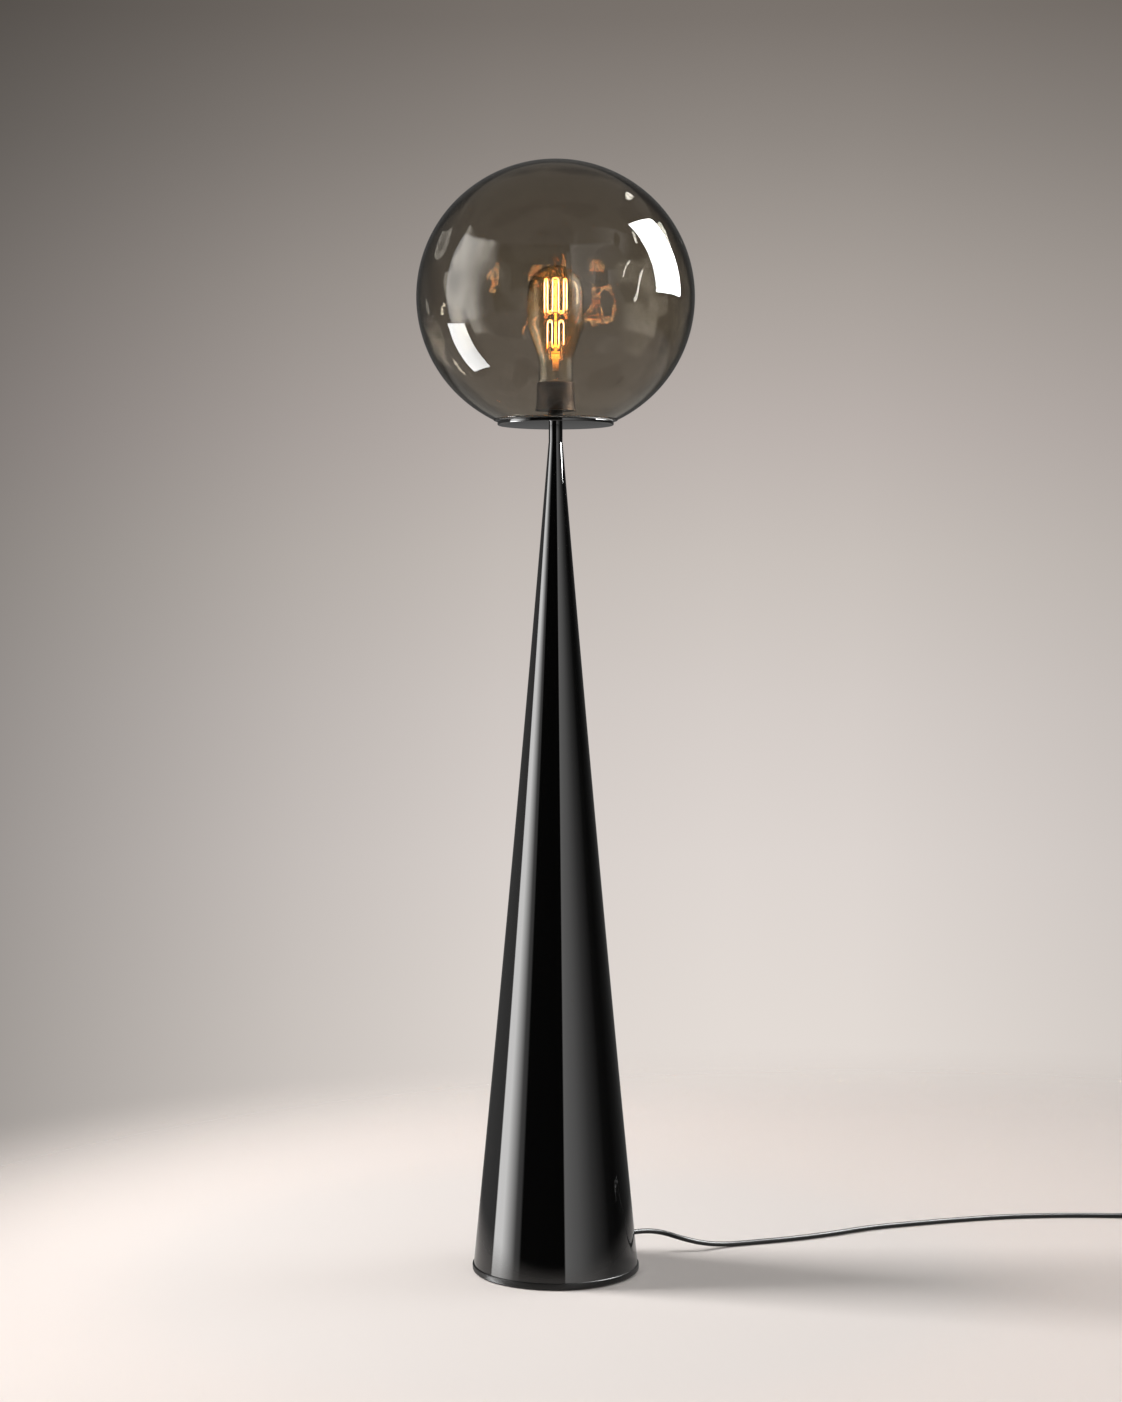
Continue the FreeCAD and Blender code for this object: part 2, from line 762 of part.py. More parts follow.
def screw_shell():
    """The threaded brass shell, with a rolled lip over the core's rim."""
    bottom = core_seat + contact_rise
    top = core_top + shell_lip_height
    lip = screw_shell_outer + shell_lip_width
    return turned([(screw_shell_inner, bottom), (screw_shell_outer, bottom),
                   (screw_shell_outer, core_top + fit), (lip, core_top + fit), (lip, top),
                   (screw_shell_inner, top)], {4: edge_break / 2, 5: edge_break / 2})


def centre_contact():
    """A sprung leaf: a flat foot on the core, bent up to the bulb's tip."""
    t = contact_thickness
    foot_x, tip_x = contact_foot_inset - core_inner, contact_tip
    rise, level = contact_bends
    z0, z1 = core_seat, contact_top
    back = t * math.tan(math.atan2(z1 - z0 - t, level - rise) / 2)
    outline = [(foot_x, z0), (rise, z0), (level, z1 - t), (tip_x, z1 - t), (tip_x, z1),
               (level - back, z1), (rise - back, z0 + t), (foot_x, z0 + t)]
    points = [V(x, -contact_width / 2, z) for x, z in outline]
    return Part.Face(Part.makePolygon(points + points[:1])).extrude(V(0, contact_width, 0))


def terminal_screws():
    return on_circle(terminal_screw(0), 2)


# ---- bulb --------------------------------------------------------------------

def bulb_side(wall=0.0):
    """The glass from its neck to its top, or with a wall the inside of it.

    A straight neck, a taper, a straight belly and half a ball, with round corners.
    """
    neck, wide = bulb_neck_diameter / 2, bulb_widest / 2
    lean = math.atan2(wide - neck, bulb_belly_start - bulb_taper_start)
    shift = wall * math.tan(lean / 2)
    corner_low = V(neck - wall, 0, cap_top + bulb_taper_start + shift)
    corner_high = V(wide - wall, 0, cap_top + bulb_belly_start + shift)
    dome_level = cap_top + bulb_height - wide
    tapers = [V(neck - wall, 0, cap_top + bulb_neck_start), corner_low, corner_high,
              V(wide - wall, 0, dome_level)]
    radii = {1: bulb_taper_round + wall, 2: bulb_belly_round - wall}
    edges, _ = route_edges(tapers, radii)
    ball = wide - wall
    middle = V(ball * math.sqrt(0.5), 0, dome_level + ball * math.sqrt(0.5))
    edges.append(Part.Arc(tapers[-1], middle, V(0, 0, dome_level + ball)).toShape())
    return edges


def bulb_glass():
    """Blown glass, drawn in at the neck to a stub that is cemented in the cap."""
    stub_out = cap_diameter / 2 - cap_wall - running
    stub_bottom = cap_top - bulb_stub
    shoulder = cap_top + seat_gap
    neck_z = cap_top + bulb_neck_start
    edges = bulb_side() + bulb_side(bulb_wall)
    for wall in (0, bulb_wall):
        stub, neck = stub_out - wall, bulb_neck_diameter / 2 - wall
        rise, reach = neck_z - shoulder, neck - stub
        bend = V(stub + 0.8 * reach, 0, shoulder + 0.4 * rise)
        edges.append(Part.LineSegment(V(stub, 0, stub_bottom), V(stub, 0, shoulder)).toShape())
        edges.append(Part.Arc(V(stub, 0, shoulder), bend, V(neck, 0, neck_z)).toShape())
    top = cap_top + bulb_height
    for a, b in ((V(stub_out - bulb_wall, 0, stub_bottom), V(stub_out, 0, stub_bottom)),
                 (V(0, 0, top - bulb_wall), V(0, 0, top))):
        edges.append(Part.LineSegment(a, b).toShape())
    return spun(edges)


def bulb_cap():
    """The screw cap: a thin metal shell, rolled out at its rim."""
    r, rim = cap_diameter / 2, cap_rim_radius
    inner = r - cap_wall
    foot, top = cap_bottom + cap_shoulder, cap_top - cap_shoulder
    return turned([(inner - cap_turn_in, cap_bottom), (r - cap_shoulder, cap_bottom), (r, foot),
                   (r, top), (rim, cap_top), (rim - cap_wall, cap_top), (inner, top), (inner, foot),
                   (inner - cap_turn_in, cap_bottom + cap_wall)])


def bulb_insulator():
    """The black glass cone between the cap and its tip."""
    top = cap_diameter / 2 - cap_wall - cap_turn_in - fit
    below, above = cap_bottom - thread_fit, cap_bottom + insulator_plug
    foot = bulb_tip_diameter / 2 + insulator_step
    return turned([(0, insulator_bottom), (foot, insulator_bottom), (top + insulator_step, below),
                   (top, below), (top, above), (0, above)])


def bulb_contact():
    r = bulb_tip_diameter / 2
    return turned([(0, tip_bottom), (r, tip_bottom), (r, tip_bottom + bulb_tip_height),
                   (0, tip_bottom + bulb_tip_height)], {1: edge_break})


def bulb_mount():
    """The glass stem: a flare on the neck, a pinched press and a rod up the middle."""
    foot = cap_top - stem_foot_depth
    flare = cap_diameter / 2 - cap_wall - running - bulb_wall - fit
    press = lower_bottom - press_below_cage
    rod_top = upper_bottom + upper_cage_height + hub_above_cage + rod_end
    rod = glass_rod_diameter / 2
    tube = turned([(0, foot), (flare, foot), (stem_foot_diameter / 2, foot + stem_flare_height),
                   (stem_neck_diameter / 2, press), (rod, press + stem_shoulder), (rod, rod_top),
                   (0, rod_top)], {2: stem_flare_round, 5: edge_break})
    width, thick, high = press_size
    pinch = Part.makeBox(width, thick, high, V(-width / 2, -thick / 2, press - high / 2))
    pinch = pinch.makeFillet(press_round, [e for e in pinch.Edges if e.Length > thick])
    return tube.fuse(pinch).removeSplitter()


def cage(radius, strands, bottom, height, first):
    """A squirrel cage of one wire: upright strands, looped over by turns."""
    step = 360.0 / strands
    bend = radius * math.sin(math.radians(step / 2))
    edges = []
    for i in range(strands):
        foot = along(first + step * i, radius, bottom + bend)
        head = along(first + step * i, radius, bottom + height - bend)
        rising = i % 2 == 0
        edges.append(Part.LineSegment(foot, head).toShape() if rising
                     else Part.LineSegment(head, foot).toShape())
        if i == strands - 1:
            break
        here, there = along(first + step * i, radius, 0), along(first + step * (i + 1), radius, 0)
        level = head.z if rising else foot.z
        reach = bend if rising else -bend
        top = (here + there) * 0.5 + V(0, 0, level + reach)
        edges.append(Part.Arc(here + V(0, 0, level), top, there + V(0, 0, level)).toShape())
    return edges


def upper_filament():
    first = 180.0 / upper_cage_strands
    edges = cage(upper_cage_radius, upper_cage_strands, upper_bottom, upper_cage_height, first)
    return swept(edges, filament_wire, "upper filament", wire_sides)


def lower_filament():
    first = 180.0 / lower_cage_strands
    edges = cage(lower_cage_radius, lower_cage_strands, lower_bottom, lower_cage_height, first)
    return swept(edges, filament_wire, "lower filament", wire_sides)


def spider(radius, strands, level, at_top):
    """A hub on the glass rod with a wire out to each loop of a cage."""
    step = 360.0 / strands
    hub_r = glass_rod_diameter / 2 + hub_wall
    hub = ring(hub_r, glass_rod_diameter / 2 + thread_fit, level - hub_height / 2,
               level + hub_height / 2)
    first = step / 2
    loops = range(0 if at_top else 1, strands - 1, 2)
    reach = radius * math.cos(math.radians(step / 2)) - filament_wire / 2 - thread_fit
    for i in loops:
        angle = first + step * (i + 0.5)
        wire = Part.makeCylinder(spoke_wire / 2, reach - hub_r + spoke_root,
                                 along(angle, hub_r - spoke_root, level), along(angle, 1, 0))
        hub = hub.fuse(wire)
    return hub.removeSplitter()


def filament_supports():
    levels = ((upper_cage_radius, upper_cage_strands, upper_bottom, upper_cage_height),
              (lower_cage_radius, lower_cage_strands, lower_bottom, lower_cage_height))
    hubs = []
    for radius, strands, bottom, height in levels:
        hubs.append(spider(radius, strands, bottom, False))
        hubs.append(spider(radius, strands, bottom + height, True))
    return hubs


# ---- cord inside the lamp ----------------------------------------------------

def cord_boot():
    """The tapered strain relief, with a flange inside the cone's wall."""
    bore = cord_diameter / 2 + thread_fit
    flange_in = wall_inside_at - boot_flange_thickness
    root, tip = boot_root_diameter / 2, boot_tip_diameter / 2
    boot = turned([(bore, flange_in), (boot_flange_diameter / 2, flange_in),
                   (boot_flange_diameter / 2, wall_inside_at), (root, wall_inside_at),
                   (root, skin_at_exit + boot_shoulder), (tip, boot_tip_at), (bore, boot_tip_at)],
                  {1: edge_break, 4: boot_shoulder_round, 5: edge_break})
    boot.rotate(V(), V(0, 1, 0), 90)
    boot.translate(V(0, 0, cord_exit_height))
    boot.rotate(V(), UP, cord_exit_azimuth)
    return boot


def inner_lead():
    """The lead's inner length: in through the strain relief, up to the lampholder."""
    stations = [(boot_tip_at, cord_exit_height),
                (skin_at_exit - lead_slope_start, cord_exit_height),
                (lead_slope_end, lead_level), (0, lead_level), (0, holder_bottom - sheath_end)]
    points = [along(cord_exit_azimuth, r, z) for r, z in stations]
    edges, radii = route_edges(points, {3: lead_bend_radius})
    print("inner lead radii", [round(r, 1) for r in radii])
    return swept(edges, cord_diameter, "inner lead")


def core_wires():
    """The two insulated conductors, from the end of the sheath to the terminals."""
    bottom, top = holder_bottom - sheath_end, core_bottom + wire_grip
    radius = core_wire_diameter / 2
    return [Part.makeCylinder(radius, top - bottom, V(side * wire_offset, 0, bottom))
            for side in (-1, 1)]


def clamp_screw_positions():
    spread = clamp_screw_spacing / 2
    a = math.radians(cord_exit_azimuth)
    across = V(-math.sin(a), math.cos(a), 0)
    return [along(cord_exit_azimuth, clamp_radius_out, 0) + across * (side * spread)
            for side in (-1, 1)]


def cord_clamp():
    """A strap over the lead, bent to its round and screwed to the base plate."""
    r = cord_diameter / 2 + running / 2
    level = lead_level
    out = clamp_screw_spacing / 2 + clamp_screw_diameter + clamp_margin
    strap = Part.makeBox(clamp_width, 2 * out, clamp_strap, V(-clamp_width / 2, -out, base_top))
    saddle = Part.makeCylinder(r + clamp_strap, clamp_width, V(-clamp_width / 2, 0, level),
                               V(1, 0, 0)).common(Part.makeBox(clamp_width, 2 * out, 2 * out,
                                                               V(-clamp_width / 2, -out, base_top)))
    legs = Part.makeBox(clamp_width, 2 * (r + clamp_strap), level - base_top,
                        V(-clamp_width / 2, -r - clamp_strap, base_top))
    body = strap.fuse([saddle, legs]).removeSplitter()
    gap = Part.makeCylinder(r, clamp_width, V(-clamp_width / 2, 0, level), V(1, 0, 0))
    body = body.cut(gap)
    body = body.cut(Part.makeBox(clamp_width, 2 * r, level - base_top,
                                 V(-clamp_width / 2, -r, base_top)))
    body.translate(V(clamp_radius_out, 0, 0))
    body.rotate(V(), UP, cord_exit_azimuth)
    for at in clamp_screw_positions():
        body = body.cut(Part.makeCylinder(clamp_screw_diameter / 2 + fit, clamp_strap,
                                          at + V(0, 0, base_top)))
    return sorted(body.Solids, key=lambda s: s.Volume)


def clamp_screws():
    r, head = clamp_screw_diameter / 2, clamp_screw_head / 2
    foot, seat = base_top - clamp_screw_grip + fit, base_top + clamp_strap
    top = seat + clamp_screw_head_height
    blank = turned([(0, foot), (r, foot), (r, seat), (head, seat), (head, top), (0, top)],
                   {4: edge_break})
    return [blank.copy().translate(at) for at in clamp_screw_positions()]


# ---- cord on the floor -------------------------------------------------------

def supply_route():
    start = along(cord_exit_azimuth, boot_tip_at, cord_exit_height)
    second = along(cord_exit_azimuth, boot_tip_at + cord_exit_run, cord_exit_height)
    middle = [V(x, y, max(z, floor_level)) for x, y, z in cord_points]
    x, y = switch_at
    return [start, second] + middle + [V(x - switch_run, y, switch_split), V(x, y, switch_split)]


def supply_cord():
    edges, radii = route_edges(supply_route())
    print("supply cord radii", [round(r, 1) for r in radii])
    return swept(edges, cord_diameter, "supply cord", cord_sides)


def coil_stations():
    """Where each half turn of the coil ends: radius and height of the cord's middle."""
    pitch = cord_diameter + coil_gap
    half_turns = 2 * coil_loops_per_layer
    inward = [(coil_outer_radius - pitch / 2 * i, floor_level) for i in range(half_turns)]
    inward.append((inward[-1][0] - pitch / 2 - coil_climb_inset, floor_level))
    return inward + [(r, z + pitch) for r, z in reversed(inward)]


def coil_path():
    """From the switch into the coil and out to the plug.

    Returns the edges, where they end, their heading there and the radii of the
    bends that lead in and out.
    """
    x, y = switch_at[0] + switch_length, switch_at[1]
    centre = V(x + coil_lead_in, y - coil_outer_radius, 0)
    stations = coil_stations()
    start = centre + V(0, coil_outer_radius, floor_level)
    leave, lie = coil_drop
    lead_in = [V(x, y, switch_split), V(x + leave, y, switch_split), V(x + lie, y, floor_level),
               start]
    edges, radii = route_edges(lead_in)
    at, heading = start, V(1, 0, 0)
    for i, (radius, height) in enumerate(stations[1:], 1):
        side = 1 if i % 2 == 0 else -1
        end = V(centre.x, centre.y + side * radius, height)
        edges += half_turn(at, heading, end, heading * -1)
        at, heading = end, heading * -1
    plug_level = V(0, 0, plug_thickness / 2 - at.z)
    leave, level_in = plug_rise
    lead_out = [at, at + heading * leave, at + heading * level_in + plug_level,
                at + heading * coil_lead_out + plug_level]
    more, out_radii = route_edges(lead_out)
    return edges + more, lead_out[-1], heading, radii + out_radii


def least_self_gap(edges, diameter):
    """The least air between stretches of one tube, measured on points along it."""
    step = 2.0
    points = Part.Wire(edges).discretize(Distance=step)
    apart = int(3 * diameter / step)
    least = math.inf
    for i, p in enumerate(points):
        for q in points[i + apart:]:
            least = min(least, (p - q).Length)
    return least - diameter


def cord_coil():
    edges, _, _, radii = coil_path()
    print("coil lead-in and lead-out radii", [round(r, 1) for r in radii])
    print(f"coil: least gap to itself {least_self_gap(edges, cord_diameter):.2f}")
    return swept(edges, cord_diameter, "coil", cord_sides)


# ---- foot switch -------------------------------------------------------------

switch_centre = V(switch_at[0] + switch_length / 2, switch_at[1], 0)


def switch_blank(bottom, top, inset=0.0):
    half = switch_length / 2 - inset
    corner = (switch_width - switch_end_flat) / 2 - inset
    return rounded_block(-half, half, switch_width - 2 * inset, bottom, top, corner)


def edges_at(shape, height):
    return [e for e in shape.Edges if all(abs(v.Z - height) < 1e-6 for v in e.Vertexes)]


def switch_base():
    """The lower half: a tray with bosses for the screws."""
    tray = switch_blank(0, switch_split)
    tray = tray.makeFillet(switch_foot_round, edges_at(tray, 0))
    hollow = switch_blank(switch_wall, switch_split, switch_wall)
    for at in switch_screw_positions():
        hollow = hollow.cut(Part.makeCylinder(switch_boss_diameter / 2, switch_split, at))
    tray = tray.cut(hollow)
    for at in switch_screw_positions():
        tray = tray.cut(switch_screw(thread_fit).translate(at))
    return tray.translate(switch_centre)


def switch_screw_positions():
    x = switch_length / 2 - switch_screw_inset
    return [V(-x, 0, 0), V(x, 0, 0)]


def switch_screw(gap):
    r, head = switch_screw_diameter / 2 + gap, switch_screw_head / 2 + gap
    foot = 0 if gap else switch_screw_sunk
    seat = switch_screw_sunk + switch_screw_head_height
    tip = switch_screw_sunk + switch_screw_length + gap
    return turned([(0, foot), (head, foot), (head, seat), (r, seat), (r, tip), (0, tip)])


def switch_screws():
    return [switch_screw(0).translate(at + switch_centre) for at in switch_screw_positions()]


def switch_cover():
    """The upper half: a domed shell with a round well for the button."""
    cover = switch_blank(switch_split, switch_height)
    cover = cover.makeFillet(switch_round, edges_at(cover, switch_height))
    hollow = switch_blank(switch_split, switch_height - switch_wall, switch_wall)
    hollow = hollow.makeFillet(switch_round - switch_wall,
                               edges_at(hollow, switch_height - switch_wall))
    for at in switch_screw_positions():
        hollow = hollow.cut(Part.makeCylinder(switch_boss_diameter / 2, switch_height, at))
    cover = cover.cut(hollow)
    well = Part.makeCylinder(button_diameter / 2 + running, switch_height)
    cover = cover.cut(well)
    for at in switch_screw_positions():
        cover = cover.cut(switch_screw(thread_fit).translate(at))
    return cover.translate(switch_centre)


def switch_button():
    """The push button, with a flange that stops it under the cover."""
    r = button_diameter / 2
    flange = r + button_flange
    top = switch_height + button_rise
    bottom = button_flange_top - button_flange_thickness
    body = turned([(0, bottom), (flange, bottom), (flange, button_flange_top),
                   (r, button_flange_top), (r, top - button_drop), (r - button_crown_width, top),
                   (0, top)], {4: button_edge_round, 5: button_crown_round})
    return body.translate(switch_centre)


# ---- plug --------------------------------------------------------------------

def plug_frame(shape):
    """Turn a shape made along +X, cord end first, to where the plug lies."""
    _, end, heading, _ = coil_path()
    angle = math.degrees(math.atan2(heading.y, heading.x))
    placed = shape.rotate(V(), UP, angle)
    return placed.translate(V(end.x, end.y, plug_thickness / 2))


def plug_body():
    """The moulded body: a tail over the cord, a waisted grip and two pin sleeves."""
    x0 = plug_tail_length
    x1 = x0 + plug_body_length
    front, back = plug_front_width / 2, plug_back_width / 2
    waist_x, waist = x0 + plug_waist_share * plug_body_length, front - plug_shoulder_step
    land = x1 - plug_front_land
    half_outline = [(x0, back), (waist_x, waist), (land, front), (x1, front)]
    outline = half_outline + [(x, -y) for x, y in half_outline[::-1]]
    half = plug_thickness / 2
    points = [V(x, y, -half) for x, y in outline]
    body = Part.Face(Part.makePolygon(points + points[:1])).extrude(V(0, 0, plug_thickness))
    body = body.makeFillet(plug_round, edges_at(body, half) + edges_at(body, -half))
    tail_end = plug_tail_length + plug_overlap
    tail = turned([(0, 0), (plug_tail_tip / 2, 0), (plug_tail_root / 2, tail_end), (0, tail_end)],
                  {1: edge_break})
    tail.rotate(V(), V(0, 1, 0), 90)
    body = body.fuse(tail)
    for side in (-1, 1):
        at = V(x1 - plug_overlap, side * pin_spacing / 2, 0)
        sleeve = Part.makeCylinder(pin_sleeve_diameter / 2, pin_sleeve_length + plug_overlap, at,
                                   V(1, 0, 0))
        body = body.fuse(sleeve)
    body = body.removeSplitter()
    for side in (-1, 1):
        at = V(x1 - pin_root, side * pin_spacing / 2, 0)
        bore = Part.makeCylinder(pin_core_diameter / 2 + thread_fit,
                                 pin_root + pin_sleeve_length, at, V(1, 0, 0))
        body = body.cut(bore)
    return plug_frame(body)


def plug_pins():
    """Two pins: a slim core in its sleeve, and a bare round end."""
    x1 = plug_tail_length + plug_body_length
    core, r = pin_core_diameter / 2, pin_diameter / 2
    bare = pin_sleeve_length
    pins = []
    for side in (-1, 1):
        pin = turned([(0, -pin_root), (core, -pin_root), (core, bare), (r, bare),
                      (r, pin_length), (0, pin_length)], {4: pin_tip_round})
        pin.rotate(V(), V(0, 1, 0), 90)
        pin.translate(V(x1, side * pin_spacing / 2, 0))
        pins.append(plug_frame(pin))
    return pins


# ---- all pieces --------------------------------------------------------------

NODES = [
    floor_pad, base_plate, base_screws, counterweight, cone_shell, tip_plug, tie_tube, tie_washer,
    tie_nut, stem_tube, threaded_nipple, gallery_plate, globe_seat_ring, glass_globe, holder_dome,
    holder_skirt, holder_core, screw_shell, centre_contact, terminal_screws, bulb_glass, bulb_cap,
    bulb_insulator, bulb_contact, bulb_mount, upper_filament, lower_filament, filament_supports,
    cord_boot, inner_lead, core_wires, cord_clamp, clamp_screws, supply_cord, cord_coil,
    switch_base, switch_cover, switch_button, switch_screws, plug_body, plug_pins,
]


def main():
    os.makedirs("parts", exist_ok=True)
    for make in NODES:
        made = make()
        shape = Part.makeCompound(made) if isinstance(made, list) else made
        bad = [s for s in shape.Solids if not s.isValid()]
        if not shape.Solids or bad:
            raise ValueError(f"{make.__name__} is not a sound solid")
        shape.exportStep(f"parts/{make.__name__}.step")


main()
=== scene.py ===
"""Looks for a globe floor lamp: smoked glass, glowing cages, black lacquer, a free cord.

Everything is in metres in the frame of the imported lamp: +Z up, origin at the foot.
"""

import json
import math

import bmesh
import bpy
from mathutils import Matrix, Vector

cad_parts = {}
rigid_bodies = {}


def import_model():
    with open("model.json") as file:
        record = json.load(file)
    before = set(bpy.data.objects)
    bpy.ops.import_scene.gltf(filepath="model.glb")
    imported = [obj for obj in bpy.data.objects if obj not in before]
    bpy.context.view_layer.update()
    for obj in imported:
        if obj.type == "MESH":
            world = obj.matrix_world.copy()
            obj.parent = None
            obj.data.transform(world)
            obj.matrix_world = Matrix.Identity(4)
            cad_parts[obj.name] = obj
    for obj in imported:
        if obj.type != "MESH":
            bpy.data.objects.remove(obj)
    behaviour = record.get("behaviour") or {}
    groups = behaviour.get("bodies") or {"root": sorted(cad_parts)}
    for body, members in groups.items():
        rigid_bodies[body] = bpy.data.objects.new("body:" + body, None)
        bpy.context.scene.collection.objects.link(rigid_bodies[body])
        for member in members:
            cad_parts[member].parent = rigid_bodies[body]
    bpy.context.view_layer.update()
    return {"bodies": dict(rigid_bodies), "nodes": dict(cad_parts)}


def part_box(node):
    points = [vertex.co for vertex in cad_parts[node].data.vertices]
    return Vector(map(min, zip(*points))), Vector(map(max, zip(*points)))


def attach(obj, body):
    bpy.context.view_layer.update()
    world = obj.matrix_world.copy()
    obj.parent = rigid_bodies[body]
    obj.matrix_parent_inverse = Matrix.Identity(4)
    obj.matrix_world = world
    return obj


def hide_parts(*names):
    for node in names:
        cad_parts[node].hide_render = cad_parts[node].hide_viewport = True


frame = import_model()

bl_info = {
    "name": "Globe Floor Lamp",
    "version": (1, 0, 0),
    "blender": (4, 5, 0),
    "location": "View3D > Sidebar > Lamp",
    "description": "Builds the finish of a globe floor lamp round its packed construction",
    "category": "Object",
}

MM = 0.001
GLOBE_LOW, GLOBE_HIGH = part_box("glass_globe")
PLATE_LOW, PLATE_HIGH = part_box("gallery_plate")
CONE_LOW, CONE_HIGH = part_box("cone_shell")
BASE_LOW, BASE_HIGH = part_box("base_plate")
STEM_LOW, STEM_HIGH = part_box("stem_tube")
SKIRT_LOW, SKIRT_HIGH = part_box("holder_skirt")
DOME_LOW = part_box("holder_dome")[0]
CAP_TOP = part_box("bulb_cap")[1].z
BULB_LOW, BULB_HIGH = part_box("bulb_glass")
UPPER_LOW, UPPER_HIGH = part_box("upper_filament")
LOWER_LOW, LOWER_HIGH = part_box("lower_filament")
GLOBE_RADIUS = (GLOBE_HIGH.x - GLOBE_LOW.x) / 2
GLOBE_FLATTENING = 3.5 * MM     # how much less high than wide the globe is, above its middle
GLOBE_MIDDLE = GLOBE_HIGH.z - (GLOBE_RADIUS - GLOBE_FLATTENING)


# ---- small tools -------------------------------------------------------------

def linear(hex_colour):
    """An sRGB hex colour as linear red, green and blue, with full alpha."""
    parts = [int(hex_colour[i:i + 2], 16) / 255 for i in (1, 3, 5)]
    return [p / 12.92 if p <= 0.04045 else ((p + 0.055) / 1.055) ** 2.4 for p in parts] + [1.0]


def add_node(tree, kind, settings=None, links=None, stops=()):
    """A node with its settings, its inputs set or linked, and its colour stops."""
    node = tree.nodes.new(kind)
    for key, value in (settings or {}).items():
        setattr(node, key, value)
    for key, value in (links or {}).items():
        if isinstance(value, bpy.types.NodeSocket):
            tree.links.new(value, node.inputs[key])
        else:
            node.inputs[key].default_value = value
    for i, (position, colour) in enumerate(stops):
        ends = {0: 0, len(stops) - 1: -1}
        stop = node.color_ramp.elements[ends[i]] if i in ends \
            else node.color_ramp.elements.new(position)
        stop.position = position
        stop.color = linear(colour) if isinstance(colour, str) else colour
    return node


def new_material(name):
    """An empty node material and its output node."""
    material = bpy.data.materials.new(name)
    material.use_nodes = True
    material.node_tree.nodes.clear()
    output = material.node_tree.nodes.new("ShaderNodeOutputMaterial")
    return material, material.node_tree, output


def mesh_piece(name, verts, faces, smooth_angle=math.radians(35)):
    """A mesh object from points and faces, smooth except across sharp edges."""
    mesh = bpy.data.meshes.new(name)
    mesh.from_pydata([tuple(v) for v in verts], [], faces)
    body = bmesh.new()
    body.from_mesh(mesh)
    bmesh.ops.remove_doubles(body, verts=body.verts, dist=1e-7)
    bmesh.ops.recalc_face_normals(body, faces=body.faces)
    for face in body.faces:
        face.smooth = True
    for edge in body.edges:
        if len(edge.link_faces) == 2 and edge.calc_face_angle(0) > smooth_angle:
            edge.smooth = False
    body.to_mesh(mesh)
    body.free()
    piece = bpy.data.objects.new(name, mesh)
    bpy.context.scene.collection.objects.link(piece)
    return piece


def lathe(name, outline, steps=128, closed=True):
    """A turned piece: an outline of (radius, height) spun about the lamp's axis."""
    verts, faces, rings = [], [], []
    for radius, height in outline:
        if radius < 1e-7:
            rings.append([len(verts)] * steps)
            verts.append((0, 0, height))
            continue
        rings.append(list(range(len(verts), len(verts) + steps)))
        verts += [(radius * math.cos(2 * math.pi * k / steps),
                   radius * math.sin(2 * math.pi * k / steps), height) for k in range(steps)]
    pairs = list(zip(rings, rings[1:] + rings[:1])) if closed else list(zip(rings, rings[1:]))
    for low, high in pairs:
        for k in range(steps):
            corners = [low[k], low[(k + 1) % steps], high[(k + 1) % steps], high[k]]
            corners = list(dict.fromkeys(corners))
            if len(corners) > 2:
                faces.append(corners)
    return mesh_piece(name, verts, faces)


def arc(centre, radius, start, end, count):
    """Points on an arc in the outline's plane, angles in degrees from the radius axis."""
    r0, z0 = centre
    angles = [math.radians(start + (end - start) * i / count) for i in range(count + 1)]
    return [(r0 + radius * math.cos(a), z0 + radius * math.sin(a)) for a in angles]


def rounded(points, rounds, count=6):
    """An outline whose corners are turned to a radius where rounds gives one."""
    outline = []
    for i, point in enumerate(points):
        radius = rounds.get(i)
        if not radius:
            outline.append(point)
            continue
        corner = Vector(point)
        before = (Vector(points[i - 1]) - corner).normalized()
        after = (Vector(points[(i + 1) % len(points)]) - corner).normalized()
        half = before.angle(after) / 2
        back = radius / math.tan(half)
        centre = corner + (before + after).normalized() * (radius / math.sin(half))
        first, last = corner + before * back - centre, corner + after * back - centre
        turn = math.atan2(first.x * last.y - first.y * last.x, first.dot(last))
        begin = math.atan2(first.y, first.x)
        outline += [(centre.x + radius * math.cos(begin + turn * k / count),
                     centre.y + radius * math.sin(begin + turn * k / count))
                    for k in range(count + 1)]
    return outline


def tube(name, points, radius, sides=10, closed=False):
    """A round wire through points, with its section carried along without twist."""
    verts, faces = [], []
    count = len(points)
    tangents = []
    for i in range(count):
        before = points[i - 1] if closed or i else points[0]
        after = points[(i + 1) % count] if closed or i < count - 1 else points[-1]
        tangents.append((after - before).normalized())
    side = tangents[0].orthogonal().normalized()
    for point, tangent in zip(points, tangents):
        side = (side - tangent * side.dot(tangent)).normalized()
        over = tangent.cross(side)
        for k in range(sides):
            a = 2 * math.pi * k / sides
            verts.append(point + (side * math.cos(a) + over * math.sin(a)) * radius)
    for i in range(count if closed else count - 1):
        j = (i + 1) % count
        for k in range(sides):
            m = (k + 1) % sides
            faces.append((i * sides + k, i * sides + m, j * sides + m, j * sides + k))
    if not closed:
        faces.append(tuple(range(sides))[::-1])
        faces.append(tuple(range((count - 1) * sides, count * sides)))
    return mesh_piece(name, verts, faces, math.radians(60))


def dress(piece, material, body, slot, *nodes):
    """Give a piece its material and body, and hide the nodes it stands for; the slot is not used.
    """
    piece.data.materials.append(material)
    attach(piece, body)
    if nodes:
        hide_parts(*nodes)
    return piece


def finish_node(name, material):
    """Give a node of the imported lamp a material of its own."""
    node = frame["nodes"][name]
    node.data.materials.clear()
    node.data.materials.append(material)
    for face in node.data.polygons:
        face.material_index = 0


# ---- materials ---------------------------------------------------------------

